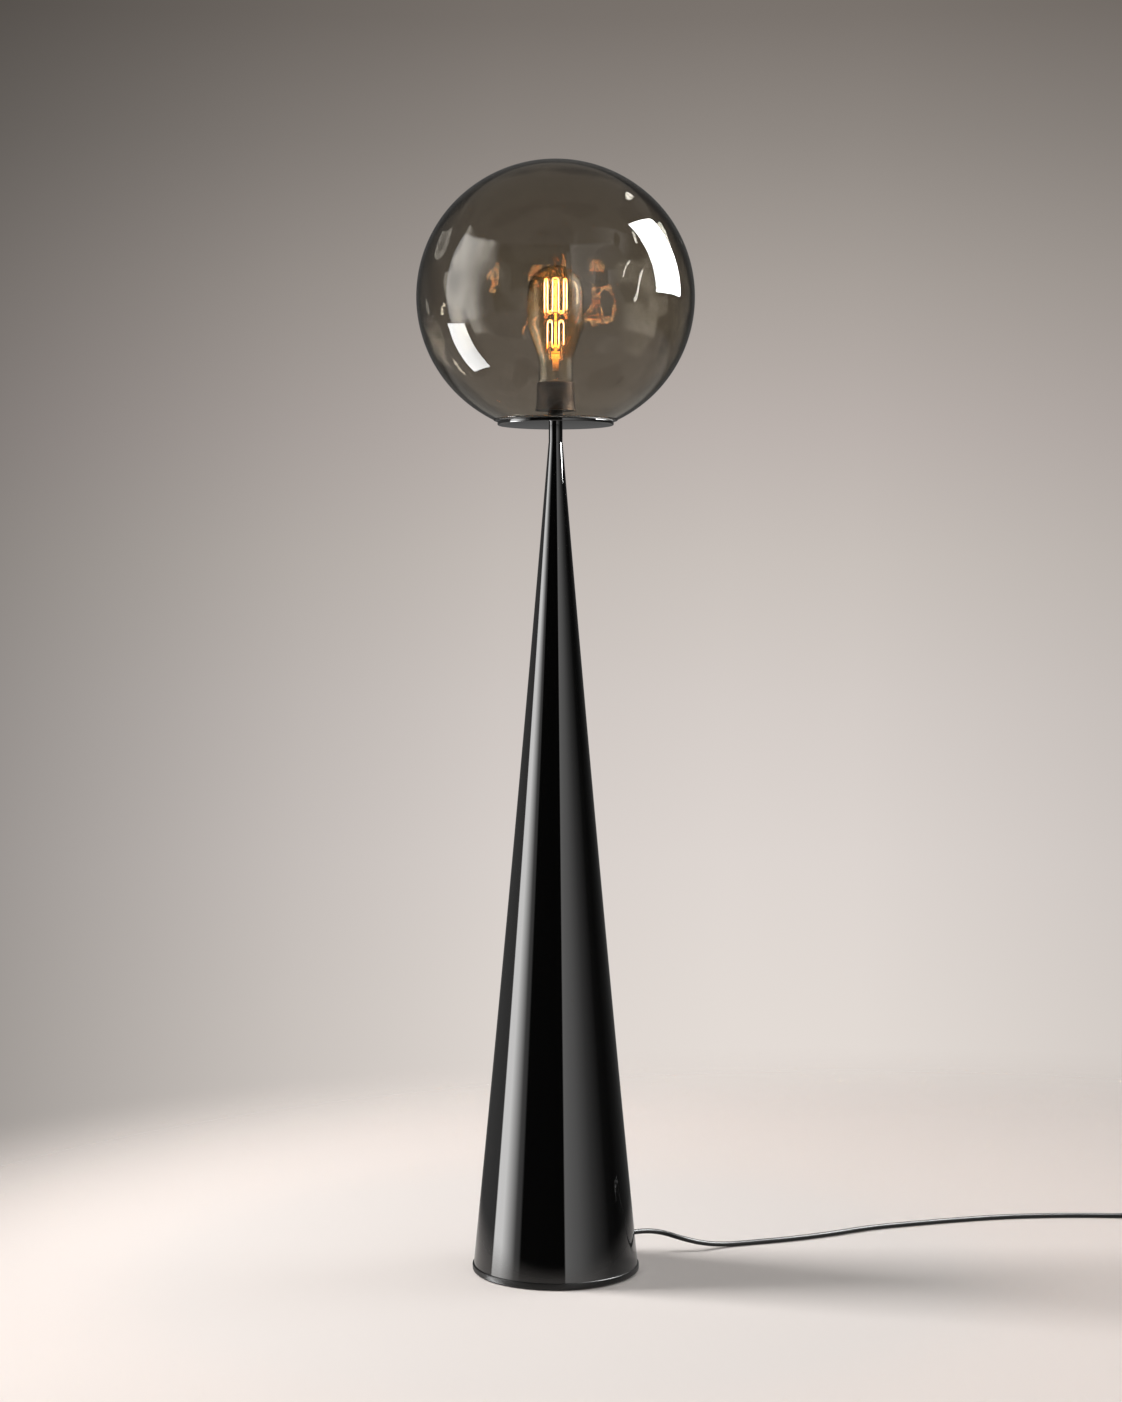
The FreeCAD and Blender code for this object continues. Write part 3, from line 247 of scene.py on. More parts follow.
def grain(tree, size_mm, detail=3.0):
    """Noise whose grains are about that many millimetres across, in the lamp's frame."""
    place = add_node(tree, "ShaderNodeTexCoord")
    return add_node(tree, "ShaderNodeTexNoise", links={
        "Vector": place.outputs["Object"], "Scale": 1 / (size_mm * MM), "Detail": detail})


def bump(tree, height, depth_mm, strength=1.0):
    return add_node(tree, "ShaderNodeBump", links={
        "Height": height, "Distance": depth_mm * MM, "Strength": strength})


def varied(tree, factor, low, high):
    """A value between low and high, moved by a pattern."""
    return add_node(tree, "ShaderNodeMapRange", links={
        "Value": factor, "From Min": 0.3, "From Max": 0.7, "To Min": low, "To Max": high})


SMOKE = "#B7B2A8"
THIN_GLASS_IOR = 1.34           # a thin smoked wall mirrors less than solid glass
WASH_ENDS = 31.5 * MM           # above the bulb's metal cap


def black_lacquer():
    """Sprayed black lacquer over spun steel, polished almost to a mirror."""
    material, tree, output = new_material("black_lacquer")
    # The faint orange peel of sprayed lacquer, about 6 mm from crest to crest
    peel = grain(tree, 6.0, 1.0)
    # Handling and dust dull it a little in patches the size of a hand
    patches = grain(tree, 60.0)
    shader = add_node(tree, "ShaderNodeBsdfPrincipled", links={
        "Base Color": linear("#050505"), "IOR": 1.5, "Coat Weight": 1.0, "Coat IOR": 1.6,
        "Coat Roughness": 0.015,
        "Roughness": varied(tree, patches.outputs["Fac"], 0.03, 0.07).outputs["Result"],
        "Normal": bump(tree, peel.outputs["Fac"], 0.003, 0.4).outputs["Normal"]})
    tree.links.new(shader.outputs["BSDF"], output.inputs["Surface"])
    return material


def black_powder_coat():
    """Fine-textured black powder coat on the base plate: a soft, grey-black sheen."""
    material, tree, output = new_material("black_powder_coat")
    # Powder flows out to grains of about 0.4 mm
    pebble = grain(tree, 0.4, 2.0)
    shader = add_node(tree, "ShaderNodeBsdfPrincipled", links={
        "Base Color": linear("#0B0B0B"), "IOR": 1.5,
        "Roughness": varied(tree, pebble.outputs["Fac"], 0.26, 0.40).outputs["Result"],
        "Normal": bump(tree, pebble.outputs["Fac"], 0.03, 0.4).outputs["Normal"]})
    tree.links.new(shader.outputs["BSDF"], output.inputs["Surface"])
    return material


def dark_bronze():
    """Patinated bronze finish on the lampholder's spun skirt."""
    material, tree, output = new_material("dark_bronze")
    place = add_node(tree, "ShaderNodeTexCoord")
    # Spinning marks run round the skirt, one about every 0.5 mm of height
    spread = add_node(tree, "ShaderNodeMapping", links={
        "Vector": place.outputs["Object"], "Scale": (20, 20, 1 / (0.5 * MM))})
    marks = add_node(tree, "ShaderNodeTexNoise", links={
        "Vector": spread.outputs["Vector"], "Scale": 1.0, "Detail": 2.0})
    patina = grain(tree, 9.0)
    colour = add_node(tree, "ShaderNodeValToRGB", links={"Fac": patina.outputs["Fac"]},
                      stops=((0.35, "#2A211A"), (0.7, "#4A3A2C")))
    shader = add_node(tree, "ShaderNodeBsdfPrincipled", links={
        "Base Color": colour.outputs["Color"], "Metallic": 0.85,
        "Roughness": varied(tree, marks.outputs["Fac"], 0.30, 0.46).outputs["Result"],
        "Normal": bump(tree, marks.outputs["Fac"], 0.02, 0.25).outputs["Normal"]})
    tree.links.new(shader.outputs["BSDF"], output.inputs["Surface"])
    return material


def smoked_glass():
    """Mould-blown smoked glass: the outside takes the mould's smoothness."""
    material, tree, output = new_material("smoked_glass")
    # The mould leaves only the shallowest of waves, about 90 mm long
    waves = grain(tree, 90.0, 0.0)
    shader = add_node(tree, "ShaderNodeBsdfPrincipled", links={
        "Base Color": linear(SMOKE), "Transmission Weight": 1.0, "Roughness": 0.0,
        "IOR": THIN_GLASS_IOR,
        "Normal": bump(tree, waves.outputs["Fac"], 0.3, 0.3).outputs["Normal"]})
    tree.links.new(shader.outputs["BSDF"], output.inputs["Surface"])
    return material


def smoked_lining():
    """The globe's inside, blown free: a vapour coating whose mirror is full of ripples."""
    material, tree, output = new_material("smoked_lining")
    # Long ripples of the free-blown side, about 48 mm from crest to crest
    ripples = grain(tree, 48.0, 0.0)
    shader = add_node(tree, "ShaderNodeBsdfPrincipled", links={
        "Base Color": linear(SMOKE), "Transmission Weight": 1.0, "Roughness": 0.0,
        "IOR": THIN_GLASS_IOR, "Coat Weight": 1.0, "Coat IOR": 1.7, "Coat Roughness": 0.0,
        "Coat Normal": bump(tree, ripples.outputs["Fac"], 16.0, 1.0).outputs["Normal"]})
    tree.links.new(shader.outputs["BSDF"], output.inputs["Surface"])
    return material


def amber_glass():
    """Soda glass of a vintage bulb, washed amber down to the top of its neck."""
    material, tree, output = new_material("amber_glass")
    waves = grain(tree, 18.0, 0.0)
    place = add_node(tree, "ShaderNodeTexCoord")
    parts = add_node(tree, "ShaderNodeSeparateXYZ", links={"Vector": place.outputs["Object"]})
    # The wash ends in a sharp line where the belly's taper meets the neck
    line = (CAP_TOP + WASH_ENDS - BULB_LOW.z) / (BULB_HIGH.z - BULB_LOW.z)
    height = add_node(tree, "ShaderNodeMapRange", links={
        "Value": parts.outputs["Z"], "From Min": BULB_LOW.z, "From Max": BULB_HIGH.z})
    wash = add_node(tree, "ShaderNodeValToRGB", links={"Fac": height.outputs["Result"]}, stops=(
        (0.0, "#F4EEE2"), (line - 0.004, "#F2EAD8"), (line, "#B8752E"), (line + 0.006, "#EFD3A6"),
        (1.0, "#F5E0BE")))
    shader = add_node(tree, "ShaderNodeBsdfPrincipled", links={
        "Base Color": wash.outputs["Color"], "Transmission Weight": 1.0, "Roughness": 0.0,
        "IOR": 1.5, "Coat Weight": 0.25, "Coat IOR": 1.5, "Coat Roughness": 0.22,
        "Normal": bump(tree, waves.outputs["Fac"], 0.08, 0.5).outputs["Normal"]})
    tree.links.new(shader.outputs["BSDF"], output.inputs["Surface"])
    return material


def clear_glass():
    """Plain lead glass of the bulb's stem and rod, with a painted glow: an emission stands in for
    the light of the cages round it.
    """
    material, tree, output = new_material("clear_glass")
    # The seeds of hand pressing, 2 mm apart
    seeds = grain(tree, 2.0)
    place = add_node(tree, "ShaderNodeTexCoord")
    parts = add_node(tree, "ShaderNodeSeparateXYZ", links={"Vector": place.outputs["Object"]})
    # Painted glow: an orange emission stands for the cages' light piped down the glass, and dies
    # out in the neck
    lit = add_node(tree, "ShaderNodeMapRange", {"interpolation_type": "SMOOTHSTEP"}, {
        "Value": parts.outputs["Z"], "From Min": LOWER_LOW.z - 26 * MM,
        "From Max": LOWER_LOW.z + 6 * MM, "To Max": 5.0})
    shader = add_node(tree, "ShaderNodeBsdfPrincipled", links={
        "Base Color": linear("#F4EFE6"), "Transmission Weight": 1.0, "Roughness": 0.02,
        "IOR": 1.55, "Emission Color": linear("#FF9A3C"),
        "Emission Strength": lit.outputs["Result"],
        "Normal": bump(tree, seeds.outputs["Fac"], 0.05, 0.3).outputs["Normal"]})
    tree.links.new(shader.outputs["BSDF"], output.inputs["Surface"])
    return material


def hot_carbon():
    """Carbon filament: the strands are white-hot, and the hooks cool the bends to orange."""
    material, tree, output = new_material("hot_carbon")
    beads = grain(tree, 2.5)
    place = add_node(tree, "ShaderNodeTexCoord")
    parts = add_node(tree, "ShaderNodeSeparateXYZ", links={"Vector": place.outputs["Object"]})
    reach = UPPER_HIGH.z - LOWER_LOW.z
    height = add_node(tree, "ShaderNodeMapRange", links={
        "Value": parts.outputs["Z"], "From Min": LOWER_LOW.z, "From Max": UPPER_HIGH.z})
    # Heights above the lower cage's foot, and the share of full heat there
    heat = ((0.0, 0.03), (3 * MM, 0.15), (8 * MM, 1.0), (LOWER_HIGH.z - LOWER_LOW.z - 4 * MM, 1.0),
            (LOWER_HIGH.z - LOWER_LOW.z, 0.10), (UPPER_LOW.z - LOWER_LOW.z, 0.10),
            (UPPER_LOW.z - LOWER_LOW.z + 7 * MM, 1.0), (reach - 7 * MM, 1.0), (reach, 0.04))
    warmth = add_node(tree, "ShaderNodeValToRGB", links={"Fac": height.outputs["Result"]}, stops=[
        (level / reach, (share, share, share, 1)) for level, share in heat])
    colour = add_node(tree, "ShaderNodeValToRGB", links={"Fac": warmth.outputs["Color"]},
                      stops=((0.1, "#FF8A2A"), (1.0, "#FFE6C2")))
    pulse = varied(tree, beads.outputs["Fac"], 280.0, 560.0)
    strength = add_node(tree, "ShaderNodeMath", {"operation": "MULTIPLY"}, {
        0: warmth.outputs["Color"], 1: pulse.outputs["Result"]})
    shader = add_node(tree, "ShaderNodeBsdfPrincipled", links={
        "Base Color": linear("#1A1512"), "Roughness": 0.6,
        "Emission Color": colour.outputs["Color"], "Emission Strength": strength.outputs[0]})
    tree.links.new(shader.outputs["BSDF"], output.inputs["Surface"])
    return material


def cord_sheath():
    """Black PVC sheath of a round mains lead, satin from the extruder."""
    material, tree, output = new_material("cord_sheath")
    draw = grain(tree, 1.2, 2.0)
    shader = add_node(tree, "ShaderNodeBsdfPrincipled", links={
        "Base Color": linear("#0C0C0C"), "IOR": 1.53,
        "Roughness": varied(tree, draw.outputs["Fac"], 0.34, 0.48).outputs["Result"],
        "Normal": bump(tree, draw.outputs["Fac"], 0.02, 0.3).outputs["Normal"]})
    tree.links.new(shader.outputs["BSDF"], output.inputs["Surface"])
    return material


def moulded_plastic():
    """Black ABS with the fine spark-eroded texture of switch and plug mouldings."""
    material, tree, output = new_material("moulded_plastic")
    texture = grain(tree, 0.5, 3.0)
    shader = add_node(tree, "ShaderNodeBsdfPrincipled", links={
        "Base Color": linear("#101010"), "IOR": 1.53,
        "Roughness": varied(tree, texture.outputs["Fac"], 0.42, 0.56).outputs["Result"],
        "Normal": bump(tree, texture.outputs["Fac"], 0.04, 0.5).outputs["Normal"]})
    tree.links.new(shader.outputs["BSDF"], output.inputs["Surface"])
    return material


def metal(name, low, high, roughness, scale_mm):
    """A bare metal whose colour and polish vary at the scale of its working marks."""
    material, tree, output = new_material(name)
    marks = grain(tree, scale_mm)
    colour = add_node(tree, "ShaderNodeValToRGB", links={"Fac": marks.outputs["Fac"]},
                      stops=((0.3, low), (0.7, high)))
    shader = add_node(tree, "ShaderNodeBsdfPrincipled", links={
        "Base Color": colour.outputs["Color"], "Metallic": 1.0,
        "Roughness": varied(tree, marks.outputs["Fac"], roughness, roughness + 0.12)
        .outputs["Result"],
        "Normal": bump(tree, marks.outputs["Fac"], 0.02, 0.3).outputs["Normal"]})
    tree.links.new(shader.outputs["BSDF"], output.inputs["Surface"])
    return material


def dull(name, low, high, roughness, scale_mm, depth_mm, sheen=0.0):
    """A non-metal whose colour varies between two shades, with a bump to match."""
    material, tree, output = new_material(name)
    marks = grain(tree, scale_mm)
    colour = add_node(tree, "ShaderNodeValToRGB", links={"Fac": marks.outputs["Fac"]},
                      stops=((0.3, low), (0.7, high)))
    shader = add_node(tree, "ShaderNodeBsdfPrincipled", links={
        "Base Color": colour.outputs["Color"], "Roughness": roughness, "Sheen Weight": sheen,
        "Normal": bump(tree, marks.outputs["Fac"], depth_mm, 0.5).outputs["Normal"]})
    tree.links.new(shader.outputs["BSDF"], output.inputs["Surface"])
    return material


# ---- sizes that a user would change ------------------------------------------

class GlobeSettings(bpy.types.PropertyGroup):
    wall: bpy.props.FloatProperty(
        name="Wall", description="Thickness of the globe's glass",
        default=2.6 * MM, unit="LENGTH")
    rim: bpy.props.FloatProperty(
        name="Rim round", description="Round on the outside of the ground rim",
        default=1.0 * MM, unit="LENGTH")


class BulbSettings(bpy.types.PropertyGroup):
    wall: bpy.props.FloatProperty(
        name="Wall", description="Thickness of the bulb's glass",
        default=0.9 * MM, unit="LENGTH")
    wire: bpy.props.FloatProperty(
        name="Filament", description="Thickness of the glowing wire",
        default=0.9 * MM, unit="LENGTH")
    upper_strands: bpy.props.IntProperty(
        name="Upper strands", description="Upright strands of the upper cage", default=12)
    lower_strands: bpy.props.IntProperty(
        name="Lower strands", description="Upright strands of the lower cage", default=8)


class CordSettings(bpy.types.PropertyGroup):
    diameter: bpy.props.FloatProperty(
        name="Cord", description="Diameter of the mains lead", default=5.6 * MM, unit="LENGTH")


class LAMP_PT_sidebar(bpy.types.Panel):
    """Lists the lamp's settings and the steps that build it"""
    bl_idname = "LAMP_PT_sidebar"
    bl_label = "Globe Floor Lamp"
    bl_space_type = "VIEW_3D"
    bl_region_type = "UI"
    bl_category = "Lamp"

    def draw(self, context):
        for group in (context.scene.lamp_globe, context.scene.lamp_bulb, context.scene.lamp_cord):
            box = self.layout.box()
            for name in group.__annotations__:
                box.prop(group, name)
        for step in STEPS:
            self.layout.operator(step.bl_idname)


# ---- camera and stage --------------------------------------------------------

CAMERA_AT = (0.00581, -2.65643, 0.71309)
CAMERA_PITCH = math.radians(2.006)
CAMERA_LENS = 63.0              # on a 36 mm sensor along the picture's long side


class LAMP_OT_camera(bpy.types.Operator):
    """Place the camera where the photograph was taken from"""
    bl_idname = "lamp.camera"
    bl_label = "Camera"

    def execute(self, context):
        data = bpy.data.cameras.new("camera")
        data.lens = CAMERA_LENS
        data.sensor_width = 36.0
        camera = bpy.data.objects.new("camera", data)
        camera.location = CAMERA_AT
        camera.rotation_euler = (math.pi / 2 - CAMERA_PITCH, 0, 0)
        context.scene.collection.objects.link(camera)
        context.scene.camera = camera
        return {"FINISHED"}


# Where the cord runs: the same points as the construction's, in millimetres.
SUPPLY_ROUTE = [
    (118.5, 77.5, 20.8), (142.0, 73.0, 14.2), (166.0, 80.0, 6.8), (192.0, 91.0, 2.8),
    (224.0, 101.5, 2.8), (265.0, 115.5, 2.8), (314.0, 138.0, 2.8), (364.0, 168.5, 2.8),
    (418.0, 187.5, 2.8), (474.0, 205.5, 2.8), (528.0, 219.5, 2.8), (582.0, 225.5, 2.8),
    (634.0, 226.0, 2.8), (676.0, 223.0, 2.8), (705.0, 222.5, 7.5), (719.0, 222.5, 7.5),
]
EXIT_AZIMUTH = math.radians(36)
EXIT_HEIGHT = 24.0 * MM
EXIT_RADIUS = 102.69 * MM       # the strain relief's tip, from the lamp's axis
EXIT_RUN = 16.0 * MM
SWITCH_FAR_FACE = (795.0 * MM, 222.5 * MM, 7.5 * MM)
COIL_CENTRE = (840.0 * MM, 180.0 * MM)
COIL_RADIUS = 42.5 * MM
COIL_PITCH = 6.1 * MM
COIL_CLIMB_INSET = 1.0 * MM
COIL_HALF_TURNS = 6             # in each of the two layers
COIL_POINTS = 8                 # for each half turn
PLUG_TAIL = (806.0 * MM, 137.5 * MM, 6.85 * MM)


def exit_point(radius):
    return Vector((radius * math.cos(EXIT_AZIMUTH), radius * math.sin(EXIT_AZIMUTH), EXIT_HEIGHT))


def supply_points():
    start = [exit_point(EXIT_RADIUS), exit_point(EXIT_RADIUS + EXIT_RUN)]
    return start + [Vector(p) * MM for p in SUPPLY_ROUTE]


def coil_points():
    """Out of the switch, round the coil and into the plug."""
    radius_of_cord = 2.8 * MM
    x, y, z = SWITCH_FAR_FACE
    points = [Vector((x, y, z)), Vector((x + 12 * MM, y, z)),
              Vector((x + 29 * MM, y, radius_of_cord))]
    inward = [(COIL_RADIUS - COIL_PITCH / 2 * i, radius_of_cord) for i in range(COIL_HALF_TURNS)]
    inward.append((inward[-1][0] - COIL_PITCH / 2 - COIL_CLIMB_INSET, radius_of_cord))
    stations = inward + [(r, h + COIL_PITCH) for r, h in reversed(inward)]
    for i, ((r0, h0), (r1, h1)) in enumerate(zip(stations, stations[1:])):
        for k in range(COIL_POINTS):
            share = k / COIL_POINTS
            # A control point stands outside the smooth line that passes between its neighbours
            r = (r0 + (r1 - r0) * share) / math.cos(math.pi / COIL_POINTS / 2)
            turn = math.pi / 2 - math.pi * (i + share)
            points.append(Vector((COIL_CENTRE[0] + r * math.cos(turn),
                                  COIL_CENTRE[1] + r * math.sin(turn), h0 + (h1 - h0) * share)))
    end = Vector(PLUG_TAIL)
    points += [Vector((COIL_CENTRE[0], end.y, stations[-1][1])),
               Vector((COIL_CENTRE[0] - 10 * MM, end.y, stations[-1][1])),
               end + Vector((9 * MM, 0, 0)), end]
    return points


def nurbs_cord(name, points, diameter):
    """One open smooth line through space with a round section."""
    curve = bpy.data.curves.new(name, "CURVE")
    curve.dimensions = "3D"
    curve.bevel_depth = diameter / 2
    curve.bevel_resolution = 5
    curve.resolution_u = 10
    curve.use_fill_caps = True
    spline = curve.splines.new("NURBS")
    spline.points.add(len(points) - 1)
    for target, point in zip(spline.points, points):
        target.co = (*point, 1.0)
    spline.order_u = 3
    spline.use_endpoint_u = True
    piece = bpy.data.objects.new(name, curve)
    bpy.context.scene.collection.objects.link(piece)
    return piece


class LAMP_OT_cord(bpy.types.Operator):
    """Lay the mains lead from the foot to the switch, and its put-away coil"""
    bl_idname = "lamp.cord"
    bl_label = "Cord"

    def execute(self, context):
        diameter = context.scene.lamp_cord.diameter
        sheath = cord_sheath()
        lead = nurbs_cord("supply_lead", supply_points(), diameter)
        dress(lead, sheath, "lamp", "cord_black", "supply_cord")
        coil = nurbs_cord("coiled_lead", coil_points(), diameter)
        dress(coil, sheath, "lamp", "cord_black", "cord_coil")
        return {"FINISHED"}


# What gloss mirrors round the lamp: degrees from the front, right-hand side positive, and level
PANELS = ((-180, 0.10), (-150, 0.07), (-120, 0.15), (-101, 0.20), (-99.5, 4.3), (-84, 5.0),
          (-60, 0.45), (-52.5, 0.30), (-51.5, 0.01), (13, 0.01), (14, 1.1), (22, 0.96), (34, 0.77),
          (46, 0.51), (58, 0.28), (71, 0.14), (85, 0.03), (102, 0.015), (121, 0.03), (152, 0.06),
          (180, 0.10))
FLOOR_CENTRE = (0.45, -0.2, 0.0)
FLOOR_REACH = 1.65
FLOOR_STEPS = 96
WINDOW_RIGHT = ((1.55, -0.1, 1.13), (1.32, 0.72, 1.16), (1.05, 0.62, 2.02), (1.12, -0.15, 2.20))
WINDOW_RIGHT_STRENGTH = 50.0
# The left window is far off: the headings of its corners from the globe's middle
WINDOW_LEFT = ((-0.946, 0.252, -0.202), (-0.958, -0.076, -0.295), (-0.675, 0.006, -0.742),
               (-0.711, 0.317, -0.628))
WINDOW_LEFT_AWAY = 40.0
WINDOW_LEFT_STRENGTH = 24.0
# A small board that only what lies behind the globe's glass mirrors, such as the bulb
BULB_GLINT = ((1.36, 0.06, 1.22), (1.26, 0.40, 1.22), (1.18, 0.36, 1.86), (1.28, 0.02, 1.86))
BULB_GLINT_STRENGTH = 110.0


def studio_air():
    """A pale backdrop to look at, a studio's panels for gloss to mirror, and even light."""
    world = bpy.data.worlds.new("studio")
    world.use_nodes = True
    tree = world.node_tree
    tree.nodes.clear()
    output = tree.nodes.new("ShaderNodeOutputWorld")
    place = add_node(tree, "ShaderNodeTexCoord")
    parts = add_node(tree, "ShaderNodeSeparateXYZ", links={"Vector": place.outputs["Generated"]})
    # The backdrop darkens upwards from the floor: the sine of the height, from -0.3 to 0.3
    height = add_node(tree, "ShaderNodeMapRange", links={
        "Value": parts.outputs["Z"], "From Min": -0.3, "From Max": 0.3})
    upward = add_node(tree, "ShaderNodeValToRGB", links={"Fac": height.outputs["Result"]}, stops=(
        (0.0, "#DDD5CF"), (0.14, "#E6DED8"), (0.23, "#E3DBD5"), (0.335, "#DED6D1"),
        (0.44, "#D5CDC8"), (0.54, "#C9C1BB"), (0.625, "#BBB2AD"), (0.72, "#A8A09A"),
        (0.815, "#8F8882"), (0.89, "#7B746E"), (1.0, "#6C655F")))
    # It is lit from the right of the lamp, and falls off to both sides
    across = add_node(tree, "ShaderNodeMapRange", links={
        "Value": parts.outputs["X"], "From Min": -0.24, "From Max": 0.24})
    sideways = add_node(tree, "ShaderNodeValToRGB", links={"Fac": across.outputs["Result"]}, stops=(
        (0.0, (0.42, 0.42, 0.42, 1)), (0.15, (0.60, 0.60, 0.60, 1)), (0.28, (0.76, 0.76, 0.76, 1)),
        (0.45, (0.93, 0.93, 0.93, 1)), (0.64, (1, 1, 1, 1)), (0.75, (0.99, 0.99, 0.99, 1)),
        (1.0, (0.83, 0.83, 0.83, 1))))
    backdrop = add_node(tree, "ShaderNodeMix", {"data_type": "RGBA", "blend_type": "MULTIPLY"}, {
        0: 1.0, 6: upward.outputs["Color"], 7: sideways.outputs["Color"]})
    # Round the lamp: the angle from the front, -180 to 180 degrees, right-hand side positive
    away = add_node(tree, "ShaderNodeMath", {"operation": "MULTIPLY"},
                    {0: parts.outputs["Y"], 1: -1.0})
    angle = add_node(tree, "ShaderNodeMath", {"operation": "ARCTAN2"},
                     {0: parts.outputs["X"], 1: away.outputs[0]})
    round_about = add_node(tree, "ShaderNodeMapRange", links={
        "Value": angle.outputs[0], "From Min": -math.pi, "From Max": math.pi})
    panels = add_node(
        tree, "ShaderNodeValToRGB", links={"Fac": round_about.outputs["Result"]},
        stops=[(degrees / 360 + 0.5, (level, level * 0.99, level * 0.98, 1))
               for degrees, level in PANELS])
    # The panels stand between the floor and well over head height
    top = add_node(tree, "ShaderNodeMapRange", {"interpolation_type": "SMOOTHSTEP"}, {
        "Value": parts.outputs["Z"], "From Min": 0.58, "From Max": 0.62})
    roofed = add_node(tree, "ShaderNodeMix", {"data_type": "RGBA"}, {
        0: top.outputs["Result"], 6: panels.outputs["Color"], 7: (0.20, 0.185, 0.17, 1)})
    foot = add_node(tree, "ShaderNodeMapRange", {"interpolation_type": "SMOOTHSTEP"}, {
        "Value": parts.outputs["Z"], "From Min": -0.22, "From Max": -0.34})
    mirrored = add_node(tree, "ShaderNodeMix", {"data_type": "RGBA"}, {
        0: foot.outputs["Result"], 6: roofed.outputs[2], 7: (0.36, 0.35, 0.335, 1)})
    path = add_node(tree, "ShaderNodeLightPath")
    # Straight through glass the backdrop is seen; only what has been mirrored sees the panels
    bounced = add_node(tree, "ShaderNodeMath", {"operation": "GREATER_THAN"},
                       {0: path.outputs["Glossy Depth"], 1: 0.5})
    shown = add_node(tree, "ShaderNodeMix", {"data_type": "RGBA"}, {
        0: bounced.outputs[0], 6: backdrop.outputs[2], 7: mirrored.outputs[2]})
    light = add_node(tree, "ShaderNodeMix", {"data_type": "RGBA"}, {
        0: path.outputs["Is Diffuse Ray"], 6: shown.outputs[2], 7: (0.31, 0.305, 0.30, 1)})
    glow = add_node(tree, "ShaderNodeBackground", links={"Color": light.outputs[2]})
    tree.links.new(glow.outputs["Background"], output.inputs["Surface"])
    return world


def pale_floor():
    """Pale seamless paper, which fades into the backdrop round it."""
    material, tree, output = new_material("pale_floor")
    fibres = grain(tree, 3.0)
    paper = add_node(tree, "ShaderNodeBsdfPrincipled", links={
        "Base Color": linear("#E6DED9"), "Roughness": 0.85,
        "Normal": bump(tree, fibres.outputs["Fac"], 0.05, 0.2).outputs["Normal"]})
    place = add_node(tree, "ShaderNodeTexCoord")
    far = add_node(tree, "ShaderNodeVectorMath", {"operation": "DISTANCE"},
                   {0: place.outputs["Object"], 1: FLOOR_CENTRE})
    edge = add_node(tree, "ShaderNodeMapRange", {"interpolation_type": "SMOOTHSTEP"}, {
        "Value": far.outputs["Value"], "From Min": 0.95, "From Max": 1.6})
    # The lacquer mirrors only the paper close round the foot
    near = add_node(tree, "ShaderNodeVectorMath", {"operation": "LENGTH"},
                    {0: place.outputs["Object"]})
    mirrored = add_node(tree, "ShaderNodeMapRange", {"interpolation_type": "SMOOTHSTEP"}, {
        "Value": near.outputs["Value"], "From Min": 0.06, "From Max": 0.5, "To Min": 0.45})
    path = add_node(tree, "ShaderNodeLightPath")
    fade = add_node(tree, "ShaderNodeMix", links={
        0: path.outputs["Is Glossy Ray"], 2: edge.outputs["Result"],
        3: mirrored.outputs["Result"]})
    clear = add_node(tree, "ShaderNodeBsdfTransparent")
    mixed = add_node(tree, "ShaderNodeMixShader", links={
        0: fade.outputs[0], 1: paper.outputs["BSDF"], 2: clear.outputs["BSDF"]})
    tree.links.new(mixed.outputs["Shader"], output.inputs["Surface"])
    return material


def panel(name, corners, strength, through_glass=False):
    """A softbox seen only as a mirror image: in the globe's outside, or through its glass."""
    board = mesh_piece(name, [Vector(c) for c in corners], [(0, 1, 2, 3)])
    material, tree, output = new_material(name)
    glow = add_node(tree, "ShaderNodeEmission", links={"Strength": strength})
    tree.links.new(glow.outputs["Emission"], output.inputs["Surface"])
    board.data.materials.append(material)
    board.visible_camera = False
    board.visible_diffuse = False
    board.visible_glossy = not through_glass
    board.visible_transmission = through_glass
    board.visible_shadow = False


def soft_light(name, place, aim, size, watts, colour):
    data = bpy.data.lights.new(name, "AREA")
    data.shape = "RECTANGLE"
    data.size, data.size_y = size
    data.energy = watts
    data.color = linear(colour)[:3]
    light = bpy.data.objects.new(name, data)
    light.location = place
    light.rotation_euler = (Vector(aim) - Vector(place)).to_track_quat("-Z", "Y").to_euler()
    light.visible_camera = False
    light.visible_glossy = False
    light.visible_transmission = False
    bpy.context.scene.collection.objects.link(light)


class LAMP_OT_stage(bpy.types.Operator):
    """Set the pale floor, the soft studio lights and what gloss and glass mirror"""
    bl_idname = "lamp.stage"
    bl_label = "Stage"

    def execute(self, context):
        scene = context.scene
        scene.view_settings.view_transform = "Standard"
        scene.world = studio_air()
        turns = [2 * math.pi * k / FLOOR_STEPS for k in range(FLOOR_STEPS)]
        rim = [(FLOOR_CENTRE[0] + FLOOR_REACH * math.cos(turn),
                FLOOR_CENTRE[1] + FLOOR_REACH * math.sin(turn), 0.0) for turn in turns]
        floor = mesh_piece("floor", rim, [tuple(range(FLOOR_STEPS))])
        floor.data.materials.append(pale_floor())
        # The key light stands to the left and throws the foot's shadow to the right
        soft_light("key", (-2.8, 0.4, 2.4), (0, 0, 0.2), (1.2, 1.3), 150, "#FFFFFF")
        soft_light("fill", (1.6, -2.2, 2.4), (0, 0, 0.5), (1.8, 1.8), 3, "#FFFDFA")
        panel("window_right", WINDOW_RIGHT, WINDOW_RIGHT_STRENGTH)
        middle = Vector((0, 0, GLOBE_MIDDLE))
        panel("window_left", [middle + Vector(c) * WINDOW_LEFT_AWAY for c in WINDOW_LEFT],
              WINDOW_LEFT_STRENGTH)
        panel("bulb_glint", BULB_GLINT, BULB_GLINT_STRENGTH, through_glass=True)
        return {"FINISHED"}


# ---- globe, plate and stem ---------------------------------------------------

